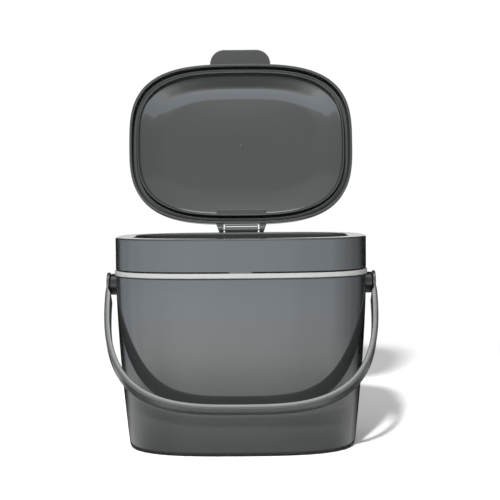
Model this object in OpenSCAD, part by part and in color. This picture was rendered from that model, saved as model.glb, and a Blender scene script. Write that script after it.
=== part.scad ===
// Compost caddy with a hinged lid.
// A moulded bucket carries a bail handle on two pivot bushes. A collar frame with a gasket ring lifts
// out of the bucket's mouth, and a hollow lid turns on a pin through the knuckle at the collar's back.
// The origin is the centre of the base on the worktop, the front faces -Y and Z is up.
// The lid stands open and the bail hangs in front of the bucket.

/* [Footprint] */
// Width of the bucket's mouth and of the collar, side to side
mouth_w = 183; // [170:1:210]
// Depth of the bucket's mouth and of the collar, front to back
mouth_d = 134; // [122:1:160]
// Squareness of the rounded outline, where 2 is an ellipse
squareness = 3; // [2.7:0.1:3.4]

/* [Bucket] */
// Height of the bucket's rim above the worktop
bucket_h = 125; // [105:1:160]
// How far each side draws in from the mouth down to the base
side_draft = 8.7; // [4:0.1:12]
// How far the front and the back draw in from the mouth down to the base
front_draft = 7.5; // [4:0.1:12]
// How strongly the wall curves in towards the base, where 1 is straight
wall_curve = 1.6; // [1.2:0.1:2]
// Thickness of the bucket's wall and floor
bucket_wall = 2.2; // [1.8:0.1:3]
// Radius of the outer edge round the base
base_edge_r = 3; // [2:0.5:5]
// Radius of the cove between the floor and the walls inside
floor_cove_r = 9; // [5:0.5:14]
// Width of the ring that the bucket stands on
foot_ring_w = 5; // [3:0.5:9]
// Height of the hollow inside the foot ring
foot_hollow = 1.2; // [0.6:0.1:2]

/* [Collar] */
// Height of the collar's outer skirt
collar_h = 23.5; // [18:0.5:32]
// Width of the flat flange from the collar's outer face to its mouth
flange_w = 12.3; // [10:0.1:16]
// Thickness of the collar's skirt, flange and spigot
collar_wall = 2; // [1.6:0.1:2.5]
// Radius of the collar's top outer edge
collar_edge_r = 1.2; // [0.6:0.1:2]
// Height of the lip that turns down round the collar's mouth
mouth_lip_h = 5; // [3.5:0.5:9]
// Distance from the collar's outer face to its spigot
spigot_inset = 4.2; // [3.8:0.1:5]
// Depth that the spigot reaches into the bucket
spigot_depth = 13; // [8:1:18]
// Width of the shallow nib under the collar's front edge
nib_w = 15.4; // [8:0.2:24]

/* [Gasket ring] */
// Height of the gasket's outer bead
bead_h = 3.5; // [2.5:0.1:5]
// Distance that the bead stands proud of the walls
bead_proud = 0.8; // [0.3:0.1:1.2]
// Depth of the gasket's sealing lip inside the bucket
seal_depth = 7; // [4:0.5:10]
// Thickness of the sealing lip
seal_t = 1.3; // [1.1:0.1:1.4]

/* [Lid] */
// Distance from the collar's outer face to the lid's outline
lid_inset = 2; // [1:0.1:4]
// Squareness of the lid's outline
lid_squareness = 3.1; // [2.8:0.1:3.4]
// Height of the lid's outer edge above its rim
lid_edge_h = 10; // [9:0.5:14]
// Rise of the lid's crown above its edge
crown_h = 4.5; // [2:0.5:8]
// Radius of the lid's top outer edge
lid_edge_r = 3; // [2:0.5:4]
// Thickness of the lid's crown
lid_shell = 2; // [1.6:0.1:2.5]
// Thickness of the lid's outer skirt
lid_skirt_t = 2; // [1.6:0.1:2.5]
// Width of the groove inside the skirt
groove_w = 3.2; // [2.5:0.1:4]
// Height of the groove's ceiling above the rim
groove_h = 6; // [4:0.5:6.5]
// Thickness of the thin lip inside the groove
lip_t = 1.1; // [0.9:0.1:1.5]
// Radius of the cove between the lip and the crown
lid_cove_r = 8; // [5:0.5:8]
// Radius of the moulding gate's button inside the crown
gate_r = 1.5; // [1:0.1:2.5]

/* [Thumb tab] */
// Width of the tab at its tip
tab_w = 38.5; // [28:0.5:50]
// Distance that the tab stands out from the lid's outline
tab_l = 13.2; // [9:0.1:18]
// Thickness of the tab
tab_t = 2.4; // [2:0.1:3]
// Radius of the tab's corners
tab_corner_r = 8; // [4:0.5:9]
// Radius that blends the tab into the lid
tab_root_r = 5.5; // [3:0.5:8]

/* [Hinge] */
// Angle from the closed lid to the open one
open_angle = 98.3; // [92:0.1:104]
// Radius of the knuckle on the collar
knuckle_r = 3.7; // [3.5:0.1:3.8]
// Length of the knuckle
knuckle_l = 26.2; // [20:0.2:34]
// Gap between the knuckle and each ear
ear_gap = 1.2; // [0.4:0.1:2]
// Thickness of each ear where it joins the lid
ear_root_t = 5.8; // [4:0.1:8]
// Thickness of each ear at the tip of its heel
ear_tip_t = 2.1; // [1.5:0.1:4]
// Radius of the ear's eye round the pin
ear_r = 2.85; // [2.6:0.05:2.9]
// Radius of the hinge pin
pin_r = 1.25; // [1:0.05:1.4]
// Distance from the lid's outline to the hinge axis
hinge_inset = 4.2; // [4.1:0.1:4.6]
// Height of the hinge axis above the collar's flange
hinge_rise = 2.1; // [2:0.1:2.8]
// Length of the heel that stops the open lid against the collar
heel_l = 4.8; // [4:0.1:7]

/* [Bail handle] */
// Distance from the gasket's bead down to the pivot bushes
pivot_drop = 0.5; // [0.5:0.5:40]
// Radius of the pivot bushes
bush_r = 7.8; // [6:0.1:7.8]
// Radius of the shank that holds a bush in the wall
shank_r = 5; // [4:0.1:5.5]
// Radius of the stubs that turn in the bushes
stub_r = 3; // [2.2:0.1:3.6]
// Distance from the mouth's side out to the bail's outer face
bail_stand_off = 8.2; // [7.2:0.1:20]
// Reach of the bail from its pivots to its far edge
bail_reach = 111; // [97:0.1:125]
// Squareness of the bail's curve
bail_squareness = 3.15; // [3.1:0.05:3.6]
// Width of the strap at the middle of the bail
strap_w = 9; // [6:0.5:10]
// Width of the strap beside the pivots
strap_side_w = 13.5; // [12:0.5:14.5]
// Thickness of the strap at the middle of the bail
strap_t = 4.2; // [3:0.1:4.4]
// Thickness of the strap beside the pivots
strap_side_t = 4.4; // [4.2:0.1:5.2]
// Radius of the strap's edges
strap_edge_r = 1.4; // [0.5:0.1:1.4]
// Radius of the round pads at the bail's ends
pad_r = 8.8; // [8:0.1:9.5]
// Thickness of the pads
pad_t = 2.2; // [1.8:0.1:2.4]

/* [Clearances] */
// Gap between the bucket's front and the hanging bail, which drag in the bushes holds clear of the wall
bail_rest_gap = 5.1; // [0.4:0.1:8]
// Gap between parts that lift apart or rest on each other
seat_gap = 0.3; // [0.2:0.05:0.4]
// Radial play of a turning pin or stub in its bore
running_gap = 0.07; // [0.03:0.01:0.1]
// Radial play of a pin or shank that is pressed in
press_gap = 0.01; // [0:0.01:0.02]

/* [Hidden] */

// Number of points round each outline, and the facets of true rounds
outline_points = 64;
$fn = 64;
// Overlap that makes two shapes of one piece a single solid
sink = 0.5;

half_w = mouth_w / 2;
half_d = mouth_d / 2;

// Heights of the stack, from the bucket's rim up to the lid's rim
bead_bottom = bucket_h + seat_gap;
bead_top = bead_bottom + bead_h;
collar_bottom = bead_top + seat_gap;
collar_top = collar_bottom + collar_h;
lid_rim = collar_top + seat_gap;

// Bucket: fillet of the rim's edge, and the floor's height
rim_edge_r = 0.6;
floor_z = foot_hollow + bucket_wall;
wall_steps = 7;

// Gasket: its inner face on the spigot and its lip's outer face
gasket_inset = spigot_inset - press_gap;
seal_inset = gasket_inset - seal_t;
bead_edge_r = 0.5;
collar_foot_r = 0.5;
nib_h = seat_gap - 0.1;
nib_t = 1.2;

// Lid: half sizes of its outline, of the crown's flat part and of the hollow inside the cove
lid_half_w = half_w - lid_inset;
lid_half_d = half_d - lid_inset;
lip_outer = lid_skirt_t + groove_w;
lip_inner = lip_outer + lip_t;
hollow_inset = lip_inner + lid_cove_r;
skirt_edge_r = 0.7;
lip_edge_r = 0.25;
gate_h = 0.5;

// Hinge axis, and the open frame of the ears round it
hinge_y = lid_half_d + hinge_inset;
hinge_z = collar_top + hinge_rise;
ear_inner = knuckle_l / 2 + ear_gap;
ear_outer = ear_inner + ear_root_t;
rim_drop = hinge_z - lid_rim;
ear_back_y = back_edge(half_w, half_d, squareness, ear_inner + ear_tip_t) + seat_gap - hinge_y;
heel_t = 3.4;
pin_left = -(ear_inner + ear_tip_t + 0.8);
pin_right = ear_inner + ear_tip_t + 1.6;

// Handle: pivot height, and the land on the wall, bush and pad, counted out from the middle
pivot_z = bead_bottom - pivot_drop - bush_r;
bail_half_w = half_w + bail_stand_off;
land_x = half_w + 0.2;
pad_inner_x = bail_half_w - 0.5 - pad_t;
bush_outer_x = pad_inner_x - seat_gap - 0.1;
shank_inner_x = half_w - bucket_wall + 0.2;
bore_end_x = shank_inner_x + 1.2;
stub_end_x = bore_end_x + seat_gap;
flare_start = bush_r + 0.6;
flare_end = flare_start + 5;
strap_taper = 2.8;
bail_steps = 44;
hang_angle = resting_angle(0, 90, 20);

// Signed power that turns a circle into a superellipse
function squared(v, n) = sign(v) * pow(abs(v), 2 / n);

// Closed outline of half sizes a and b at height z
function outline(a, b, z, n) = [
    for (i = [0:outline_points - 1])
        let (t = 360 * i / outline_points)
        [a * squared(cos(t), n), b * squared(sin(t), n), z]
];

// Outline drawn in by an inset, from a profile point [inset, z]
function inset_outline(a, b, n, p) = outline(a - p[0], b - p[0], p[1], n);

// Distance from the middle to the back edge of an outline at a sideways offset x
function back_edge(a, b, n, x) = b * pow(1 - pow(abs(x) / a, n), 1 / n);

// Share of the draft that the wall has gained at a height
function gained(z) = 1 - pow(1 - min(1, max(0, z / bucket_h)), wall_curve);
function bucket_a(z) = half_w - side_draft * (1 - gained(z));
function bucket_b(z) = half_d - front_draft * (1 - gained(z));

// Outline of the bucket's wall at a height, drawn in by an inset
function wall_ring(inset, z) = outline(bucket_a(z) - inset, bucket_b(z) - inset, z, squareness);

// Quarter round from angle 0 to 90 as [cos, sin] pairs
function quarter(steps) = [for (k = [0:steps]) [cos(90 * k / steps), sin(90 * k / steps)]];

// Solid skin over a list of rings. An open list gets a flat cap at each end, a looped one closes on itself.
module skin(rings, looped = false) {
    n = len(rings[0]);
    m = len(rings);
    points = [for (r = rings) each r];
    quads = [
        for (k = [0:m - (looped ? 1 : 2)], i = [0:n - 1])
            let (j = (i + 1) % n, l = (k + 1) % m)
            each [[k * n + i, l * n + j, k * n + j], [k * n + i, l * n + i, l * n + j]]
    ];
    first_cap = [for (i = [0:n - 1]) i];
    last_cap = [for (i = [n - 1:-1:0]) (m - 1) * n + i];
    polyhedron(points, looped ? quads : concat(quads, [first_cap, last_cap]));
}

// Cylinder along X between two places
module rod(x0, x1, r, y, z) {
    translate([x0, y, z])
        rotate([0, 90, 0])
            cylinder(r = r, h = x1 - x0);
}

// Profile in Y and Z that is carried along X between two places
module along_x(x0, x1) {
    translate([x0, 0, 0])
        rotate([90, 0, 90])
            linear_extrude(height = x1 - x0)
                children();
}

// ---------- Bucket ----------

module bucket_shell() {
    heights = [for (k = [1:wall_steps - 1]) bucket_h * k / wall_steps];
    hollow_inset_0 = base_edge_r + foot_ring_w;
    foot = [
        wall_ring(hollow_inset_0 + foot_hollow, foot_hollow),
        wall_ring(hollow_inset_0, 0)
    ];
    base_edge = [for (q = quarter(3)) wall_ring(base_edge_r * (1 - q[1]), base_edge_r * (1 - q[0]))];
    outside = [for (z = heights) wall_ring(0, z)];
    rim = [
        wall_ring(0, bucket_h - rim_edge_r),
        wall_ring(rim_edge_r, bucket_h),
        wall_ring(bucket_wall - rim_edge_r, bucket_h),
        wall_ring(bucket_wall, bucket_h - rim_edge_r)
    ];
    inside = [for (k = [wall_steps - 2:-1:0]) wall_ring(bucket_wall, heights[k])];
    cove = [
        for (q = quarter(4))
            wall_ring(bucket_wall + floor_cove_r * (1 - q[0]), floor_z + floor_cove_r * (1 - q[1]))
    ];
    skin(concat(foot, base_edge, outside, rim, inside, cove));
}

module bucket() {
    color([0.27, 0.28, 0.28])
        difference() {
            union() {
                bucket_shell();
                for (side = [0, 1])
                    mirror([side, 0, 0])
                        rod(half_w - bucket_wall / 2 - 0.4, land_x, bush_r, 0, pivot_z);
            }
            for (side = [0, 1])
                mirror([side, 0, 0])
                    rod(half_w - bucket_wall - 3, land_x + 1, shank_r + press_gap, 0, pivot_z);
        }
}

// ---------- Pivot bushes ----------

module pivot_bush() {
    difference() {
        union() {
            rod(land_x, bush_outer_x, bush_r, 0, pivot_z);
            rod(shank_inner_x, land_x + sink, shank_r, 0, pivot_z);
        }
        rod(bore_end_x, bush_outer_x + 1, stub_r + running_gap, 0, pivot_z);
    }
}

module pivot_bush_left() {
    color([0.16, 0.17, 0.17])
        mirror([1, 0, 0])
            pivot_bush();
}

module pivot_bush_right() {
    color([0.16, 0.17, 0.17])
        pivot_bush();
}

// ---------- Gasket ----------

module rim_gasket() {
    profile = [
        [seal_inset, bead_bottom],
        [bead_edge_r - bead_proud, bead_bottom],
        [-bead_proud, bead_bottom + bead_edge_r],
        [-bead_proud, bead_top - bead_edge_r],
        [bead_edge_r - bead_proud, bead_top],
        [gasket_inset, bead_top],
        [gasket_inset, bucket_h - seal_depth],
        [seal_inset + bead_edge_r, bucket_h - seal_depth],
        [seal_inset, bucket_h - seal_depth + bead_edge_r]
    ];
    color([0.8, 0.8, 0.78])
        skin([for (p = profile) inset_outline(half_w, half_d, squareness, p)], looped = true);
}

// ---------- Collar ----------

module collar_frame() {
    edge = [
        for (k = [0:3])
            [collar_edge_r * (1 - cos(30 * k)), collar_top - collar_edge_r * (1 - sin(30 * k))]
    ];
    mouth = [
        for (k = [0:2])
            [flange_w - collar_edge_r * (1 - sin(45 * k)), collar_top - collar_edge_r * (1 - cos(45 * k))]
    ];
    under = collar_top - collar_wall;
    inner = spigot_inset + collar_wall;
    tip = bucket_h - spigot_depth;
    profile = concat(
        [[collar_foot_r, collar_bottom], [0, collar_bottom + collar_foot_r]],
        edge,
        mouth,
        [
            [flange_w, collar_top - mouth_lip_h],
            [flange_w - collar_wall, collar_top - mouth_lip_h],
            [flange_w - collar_wall, under],
            [inner, under],
            [inner, tip],
            [spigot_inset + collar_foot_r, tip],
            [spigot_inset, tip + 2 * collar_foot_r],
            [spigot_inset, under],
            [collar_wall, under],
            [collar_wall, collar_bottom]
        ]
    );
    skin([for (p = profile) inset_outline(half_w, half_d, squareness, p)], looped = true);
}

module knuckle_profile() {
    web_foot = collar_top - 10;
    union() {
        translate([hinge_y, hinge_z])
            circle(r = knuckle_r);
        polygon([
            [half_d - collar_wall / 2, collar_top - collar_wall / 2],
            [half_d - collar_wall / 2, web_foot],
            [half_d - collar_wall / 8, web_foot],
            [hinge_y + knuckle_r * cos(30), hinge_z - knuckle_r * sin(30)],
            [hinge_y, hinge_z]
        ]);
    }
}

module collar() {
    color([0.3, 0.31, 0.31])
        difference() {
            union() {
                collar_frame();
                along_x(-knuckle_l / 2, knuckle_l / 2)
                    knuckle_profile();
                translate([-nib_w / 2, -half_d + 0.05, collar_bottom - nib_h])
                    cube([nib_w, nib_t, nib_h + sink]);
            }
            rod(-knuckle_l / 2 - 1, knuckle_l / 2 + 1, pin_r + running_gap, hinge_y, hinge_z);
        }
}

// ---------- Hinge pin ----------

module hinge_pin() {
    color([0.75, 0.75, 0.76])
        rod(pin_left, pin_right, pin_r, hinge_y, hinge_z);
}

// ---------- Lid, drawn closed round the hinge axis and then opened ----------

// Height of the crown's top face at a share f of its way out from the middle
function crown_z(f) = lid_rim + lid_edge_h + crown_h * (1 - f * f);

module lid_shell_closed() {
    top_a = lid_half_w - lid_edge_r;
    top_b = lid_half_d - lid_edge_r;
    in_a = lid_half_w - hollow_inset;
    in_b = lid_half_d - hollow_inset;
    ceiling = crown_z(in_a / top_a) - lid_shell;
    crown_inside = [
        for (s = [0.15, 0.4, 0.65, 0.85])
            outline(in_a * s, in_b * s, crown_z(in_a * s / top_a) - lid_shell, lid_squareness)
    ];
    cove = [
        for (k = [0:4])
            [
                lip_inner + lid_cove_r * (1 - sin(22.5 * k)),
                ceiling - lid_cove_r * (1 - cos(22.5 * k))
            ]
    ];
    rim_profile = [
        [lip_inner - lip_edge_r, lid_rim],
        [lip_outer + lip_edge_r, lid_rim],
        [lip_outer, lid_rim + lip_edge_r],
        [lip_outer, lid_rim + groove_h],
        [lid_skirt_t, lid_rim + groove_h],
        [lid_skirt_t, lid_rim + lip_edge_r],
        [lid_skirt_t - lip_edge_r, lid_rim],
        [skirt_edge_r, lid_rim],
        [0, lid_rim + skirt_edge_r]
    ];
    top_edge = [
        for (k = [0:3])
            [lid_edge_r * (1 - cos(30 * k)), lid_rim + lid_edge_h - lid_edge_r * (1 - sin(30 * k))]
    ];
    crown_outside = [
        for (s = [0.85, 0.65, 0.4, 0.15])
            outline(top_a * s, top_b * s, crown_z(s), lid_squareness)
    ];
    skin(concat(
        crown_inside,
        [for (p = concat(cove, rim_profile, top_edge)) inset_outline(lid_half_w, lid_half_d, lid_squareness, p)],
        crown_outside
    ));
}

// Flat outline of the thumb tab, with y = 0 on the lid's front edge and the tip towards -Y
module tab_outline() {
    square_l = tab_l - tab_corner_r;
    difference() {
        translate([-tab_w / 2 - tab_root_r, -tab_root_r])
            square([tab_w + 2 * tab_root_r, tab_root_r + lid_skirt_t / 2]);
        for (side = [-1, 1])
            translate([side * (tab_w / 2 + tab_root_r), -tab_root_r])
                circle(r = tab_root_r);
    }
    translate([-tab_w / 2, -square_l])
        square([tab_w, square_l + lid_skirt_t / 2]);
    translate([-tab_w / 2 + tab_corner_r, -tab_l])
        square([tab_w - 2 * tab_corner_r, tab_l]);
    for (side = [-1, 1])
        translate([side * (tab_w / 2 - tab_corner_r), -square_l])
            circle(r = tab_corner_r);
}

module lid_closed() {
    lid_shell_closed();
    translate([0, -lid_half_d, lid_rim + lid_edge_h - lid_edge_r - tab_t / 2])
        linear_extrude(height = tab_t)
            tab_outline();
    translate([0, 0, crown_z(0) - lid_shell - gate_h])
        cylinder(r = gate_r, h = gate_h + sink);
}

// Turns a shape from the closed place of the lid to the open one
module opened() {
    translate([0, hinge_y, hinge_z])
        rotate([-open_angle, 0, 0])
            translate([0, -hinge_y, -hinge_z])
                children();
}

// Side view of an ear round the hinge axis with the lid open: arm, eye and heel
module ear_profile() {
    rotate(-open_angle)
        polygon([
            [-hinge_inset - lid_skirt_t / 2, sink - rim_drop],
            [-ear_r * cos(45), sink - rim_drop],
            [0, 0],
            [ear_r * cos(20), ear_r * sin(20)],
            [0, lid_edge_h - rim_drop - lid_edge_r - 1],
            [-hinge_inset - lid_skirt_t / 2, lid_edge_h - rim_drop - lid_edge_r]
        ]);
    circle(r = ear_r);
    translate([ear_back_y, -heel_l])
        square([heel_t, heel_l]);
}

module ear() {
    intersection() {
        translate([0, hinge_y, hinge_z])
            along_x(ear_inner, ear_outer)
                ear_profile();
        translate([0, hinge_y + lid_edge_h + 5, hinge_z])
            rotate([90, 0, 0])
                linear_extrude(height = 2 * lid_edge_h + 10)
                    polygon([
                        [ear_inner, -heel_l - 1],
                        [ear_inner + ear_tip_t, -heel_l - 1],
                        [ear_outer, hinge_inset],
                        [ear_outer, hinge_inset + 9],
                        [ear_inner, hinge_inset + 9]
                    ]);
    }
}

module lid() {
    color([0.26, 0.27, 0.27])
        difference() {
            union() {
                opened()
                    lid_closed();
                ear();
                mirror([1, 0, 0])
                    ear();
            }
            rod(pin_left - press_gap, ear_outer + 1, pin_r + press_gap, hinge_y, hinge_z);
        }
}

// ---------- Bail handle, drawn hanging straight down from the origin and then swung forward ----------

// Smooth step from 0 to 1 between two places
function eased(v, from, to) = let (s = min(1, max(0, (v - from) / (to - from)))) s * s * (3 - 2 * s);

// Sideways place of the bail's outer face at a distance v below the pivots
function bail_u(v) = bail_half_w * pow(1 - pow(min(1, v / bail_reach), bail_squareness), 1 / bail_squareness);

// Places [u, v] down the bail's right side, close together beside the pad
bail_side = concat(
    [for (v = [1, 4.5, flare_start, (flare_start + flare_end) / 2, flare_end]) [bail_u(v), v]],
    [
        for (k = [2:bail_steps / 2])
            let (t = 90 * k / (bail_steps / 2))
            [bail_half_w * squared(cos(t), bail_squareness), bail_reach * squared(sin(t), bail_squareness)]
    ]
);
bail_path = concat(
    bail_side,
    [for (k = [len(bail_side) - 2:-1:0]) [-bail_side[k][0], bail_side[k][1]]]
);

// Whether the strap's inner edge clears the bucket's front when the bail hangs at an angle from straight down
function clears_front(angle) =
    let (
        reach = bail_reach - strap_t,
        half = strap_w / 2,
        edge_y = reach * sin(angle) - half * cos(angle),
        edge_z = pivot_z - reach * cos(angle) - half * sin(angle)
    )
    edge_y > bucket_b(edge_z) + bail_rest_gap;

// Smallest angle between two limits at which the bail clears the front, found by halving
function resting_angle(low, high, steps) =
    let (middle = (low + high) / 2)
    steps == 0 ? high
    : clears_front(middle) ? resting_angle(low, middle, steps - 1)
    : resting_angle(middle, high, steps - 1);

// Unit vector that points out of the bail at a place on its outer face
function bail_normal(p) =
    let (
        e = bail_squareness - 1,
        gu = sign(p[0]) * pow(abs(p[0]) / bail_half_w, e) / bail_half_w,
        gv = pow(p[1] / bail_reach, e) / bail_reach,
        g = sqrt(gu * gu + gv * gv)
    )
    [gu / g, gv / g];

// Outer and inner depth of the strap below the outer face, and its width, at a place
function strap_outer(p) = 1.2 * (1 - eased(p[1], 1, flare_end));
function strap_inner(p) =
    let (full = strap_t + (strap_side_t - strap_t) * pow(abs(p[0]) / bail_half_w, 2))
    pad_t + (full - pad_t) * eased(p[1], flare_start - 1, flare_end);
function strap_width(p) = strap_w + (strap_side_w - strap_w) * pow(abs(p[0]) / bail_half_w, strap_taper);

// Corners of the strap's section as [depth, across], with a rounded edge at each
function strap_section(p) =
    let (
        top = strap_outer(p),
        low = strap_inner(p),
        half = strap_width(p) / 2,
        r = min(strap_edge_r, (low - top) / 2 - 0.05)
    )
    [
        for (c = [[1, 1], [-1, 1], [-1, -1], [1, -1]], k = [0:2])
            let (
                turn = c[0] * c[1] > 0 ? 45 * k : 90 - 45 * k,
                depth = c[0] > 0 ? low - r + r * cos(turn) : top + r - r * cos(turn),
                across = c[1] * (half - r + r * sin(turn))
            )
            [depth, across]
    ];

module bail_strap() {
    skin([
        for (p = bail_path)
            let (n = bail_normal(p))
            [for (s = strap_section(p)) [p[0] - n[0] * s[0], s[1], -(p[1] - n[1] * s[0])]]
    ]);
}

module bail_end() {
    rod(pad_inner_x, pad_inner_x + pad_t, pad_r, 0, 0);
    rod(stub_end_x, pad_inner_x + pad_t / 2, stub_r, 0, 0);
}

module bail_handle() {
    color([0.33, 0.34, 0.34])
        translate([0, 0, pivot_z])
            rotate([-hang_angle, 0, 0]) {
                bail_strap();
                bail_end();
                mirror([1, 0, 0])
                    bail_end();
            }
}

bucket();
pivot_bush_left();
pivot_bush_right();
rim_gasket();
collar();
hinge_pin();
lid();
bail_handle();
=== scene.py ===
"""Compost caddy with a hinged lid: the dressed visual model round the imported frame.

All sizes in this file are in millimetres and turn into metres when a mesh is made. The origin is the
centre of the base on the worktop, the front faces -Y and +Z is up. The lid stands open and the bail
hangs in front of the bucket, as in the frame's rest pose.
"""
import logging
import math
from dataclasses import dataclass, field
from enum import Enum
from typing import Callable, Sequence

import bmesh
import bpy
import numpy as np
from mathutils import Matrix, Vector


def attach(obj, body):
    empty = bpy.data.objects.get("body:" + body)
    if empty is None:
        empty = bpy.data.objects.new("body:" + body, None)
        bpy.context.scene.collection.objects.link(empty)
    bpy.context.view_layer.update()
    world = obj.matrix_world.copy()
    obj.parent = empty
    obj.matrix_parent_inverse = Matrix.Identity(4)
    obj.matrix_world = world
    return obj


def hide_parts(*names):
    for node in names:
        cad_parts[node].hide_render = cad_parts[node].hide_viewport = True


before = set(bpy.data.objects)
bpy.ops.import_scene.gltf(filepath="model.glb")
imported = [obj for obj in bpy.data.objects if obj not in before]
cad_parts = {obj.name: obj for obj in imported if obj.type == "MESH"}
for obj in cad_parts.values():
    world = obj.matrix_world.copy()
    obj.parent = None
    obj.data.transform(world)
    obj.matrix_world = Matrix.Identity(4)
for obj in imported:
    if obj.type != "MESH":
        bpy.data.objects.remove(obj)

LOG = logging.getLogger("caddy")

# Metres in a millimetre.
MM = 0.001
# Points round the outlines, round turned pieces and in a quarter turn of a fillet.
RING_POINTS = 320
LATHE_POINTS = 96
FILLET_SEGMENTS = 5
# Narrow strip beside each fillet that keeps the shading of the flat next to it flat, in millimetres.
HOLD = 0.25
# Edges that turn by more than this are real edges.
SHARP_ANGLE = math.radians(38)
# Doubled points lie closer than this, in metres.
MERGE_DISTANCE = 1e-7
# Below this a length in millimetres or a cross product counts as nothing.
TINY = 1e-9

Colour = tuple[float, float, float]
Section = list[tuple[float, float]]


class Body(Enum):
    """Bodies of the frame that the pieces ride on."""

    BUCKET = "bucket_body"
    COLLAR = "collar_body"
    LID = "lid_body"
    BAIL = "bail_body"


# ---------------------------------------------------------------------------
# Curves and meshes
# ---------------------------------------------------------------------------


def superellipse_reach(
    half_x: float, half_y: float, power: float, angles: np.ndarray
) -> np.ndarray:
    """Distance from the middle to a superellipse in each direction.

    Args:
        half_x: Half size along the first axis.
        half_y: Half size along the second axis.
        power: Squareness, where 2 is an ellipse.
        angles: Directions in radians.

    Returns:
        One distance for each direction.
    """
    along = np.abs(np.cos(angles) / half_x) ** power + np.abs(np.sin(angles) / half_y) ** power
    return along ** (-1.0 / power)


def even_angles(half_x: float, half_y: float, power: float, count: int) -> np.ndarray:
    """Directions that space points evenly along a superellipse.

    Args:
        half_x: Half size along the first axis.
        half_y: Half size along the second axis.
        power: Squareness of the outline.
        count: Number of directions, a multiple of four.

    Returns:
        Directions in radians, symmetric about both axes.
    """
    fine = np.linspace(0.0, math.pi / 2, 4001)
    reach = superellipse_reach(half_x, half_y, power, fine)
    points = np.stack([reach * np.cos(fine), reach * np.sin(fine)], axis=1)
    steps = np.linalg.norm(np.diff(points, axis=0), axis=1)
    travelled = np.concatenate([[0.0], np.cumsum(steps)])
    quarter = np.interp(np.linspace(0.0, travelled[-1], count // 4 + 1), travelled, fine)
    first = quarter[:-1]
    mirrored = quarter[:0:-1]
    return np.concatenate([first, math.pi - mirrored, math.pi + first, 2 * math.pi - mirrored])


@dataclass(frozen=True)
class Corner:
    """One corner of a section, with the radius that rounds it."""

    inset: float
    z: float
    radius: float = 0.0


def trace(corners: Sequence[Corner], closed: bool) -> Section:
    """Rounds the corners of a section and keeps the flats between them flat.

    Args:
        corners: Corners in order, as insets and heights.
        closed: Whether the last corner joins the first.

    Returns:
        Points of the rounded section in the same order.
    """
    points: list[tuple[float, float]] = []
    count = len(corners)
    for index, corner in enumerate(corners):
        here = np.array([corner.inset, corner.z])
        at_end = not closed and index in (0, count - 1)
        if at_end or corner.radius <= 0.0:
            points.append((float(here[0]), float(here[1])))
            continue
        before = corners[index - 1]
        after = corners[(index + 1) % count]
        back = np.array([before.inset, before.z]) - here
        ahead = np.array([after.inset, after.z]) - here
        back_length, ahead_length = np.linalg.norm(back), np.linalg.norm(ahead)
        back, ahead = back / back_length, ahead / ahead_length
        inside = math.acos(float(np.clip(back @ ahead, -1.0, 1.0)))
        turn = math.pi - inside
        reach = min(corner.radius * math.tan(turn / 2), 0.48 * back_length, 0.48 * ahead_length)
        radius = reach / math.tan(turn / 2)
        middle = back + ahead
        centre = here + middle / np.linalg.norm(middle) * radius / math.sin(inside / 2)
        start, stop = here + back * reach - centre, here + ahead * reach - centre
        parts = max(2, math.ceil(turn / (math.pi / 2) * FILLET_SEGMENTS))
        points.append(tuple(here + back * (reach + min(HOLD, 0.25 * (back_length - reach)))))
        for step in range(parts + 1):
            share = step / parts
            near = math.sin((1 - share) * turn) / math.sin(turn)
            far = math.sin(share * turn) / math.sin(turn)
            points.append(tuple(centre + start * near + stop * far))
        points.append(tuple(here + ahead * (reach + min(HOLD, 0.25 * (ahead_length - reach)))))
    return [(float(p[0]), float(p[1])) for p in points]


def skin(name: str, rings: Sequence[np.ndarray], looped: bool = False) -> bpy.types.Mesh:
    """Closed mesh over a list of rings with equal point counts.

    Args:
        name: Name of the mesh.
        rings: Rings of points in millimetres.
        looped: Whether the last ring joins the first; otherwise each end is closed by a fan.

    Returns:
        The mesh in metres, shaded smooth.
    """
    around, along = len(rings[0]), len(rings)
    points = [tuple(p) for ring in rings for p in ring]
    faces: list[tuple[int, ...]] = []
    for row in range(along if looped else along - 1):
        this, following = row * around, ((row + 1) % along) * around
        for i in range(around):
            j = (i + 1) % around
            faces.append((this + i, this + j, following + j, following + i))
    if not looped:
        for ring_start, ring in ((0, rings[0]), ((along - 1) * around, rings[-1])):
            points.append(tuple(np.mean(ring, axis=0)))
            hub = len(points) - 1
            faces.extend((ring_start + i, ring_start + (i + 1) % around, hub) for i in range(around))
    return finish_mesh(name, points, faces)


def finish_mesh(
    name: str, points: Sequence[Sequence[float]], faces: Sequence[Sequence[int]]
) -> bpy.types.Mesh:
    """Makes a mesh in metres with outward faces, smooth shading and sharp real edges.

    Args:
        name: Name of the mesh.
        points: Points in millimetres.
        faces: Faces as point numbers.

    Returns:
        The finished mesh.
    """
    mesh = bpy.data.meshes.new(name)
    mesh.from_pydata([(p[0] * MM, p[1] * MM, p[2] * MM) for p in points], [], [tuple(f) for f in faces])
    tidy_mesh(mesh)
    return mesh


def tidy_mesh(mesh: bpy.types.Mesh) -> None:
    """Merges doubled points, turns faces outward and marks the sharp edges of a mesh."""
    work = bmesh.new()
    work.from_mesh(mesh)
    bmesh.ops.remove_doubles(work, verts=work.verts, dist=MERGE_DISTANCE)
    bmesh.ops.recalc_face_normals(work, faces=work.faces)
    for face in work.faces:
        face.smooth = True
    for edge in work.edges:
        edge.smooth = not (edge.is_manifold and edge.calc_face_angle(0.0) > SHARP_ANGLE)
    work.to_mesh(mesh)
    work.free()
    mesh.update()


def lathe(name: str, profile: Sequence[tuple[float, float]], y: float, z: float) -> bpy.types.Mesh:
    """Turned mesh about an axis along X.

    Args:
        name: Name of the mesh.
        profile: Points as (x, radius); radius 0 at both ends closes the mesh.
        y: Place of the axis.
        z: Height of the axis.

    Returns:
        The turned mesh.
    """
    return skin(name, [turned_ring(x, r, y, z) for x, r in profile if r > TINY])


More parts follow.
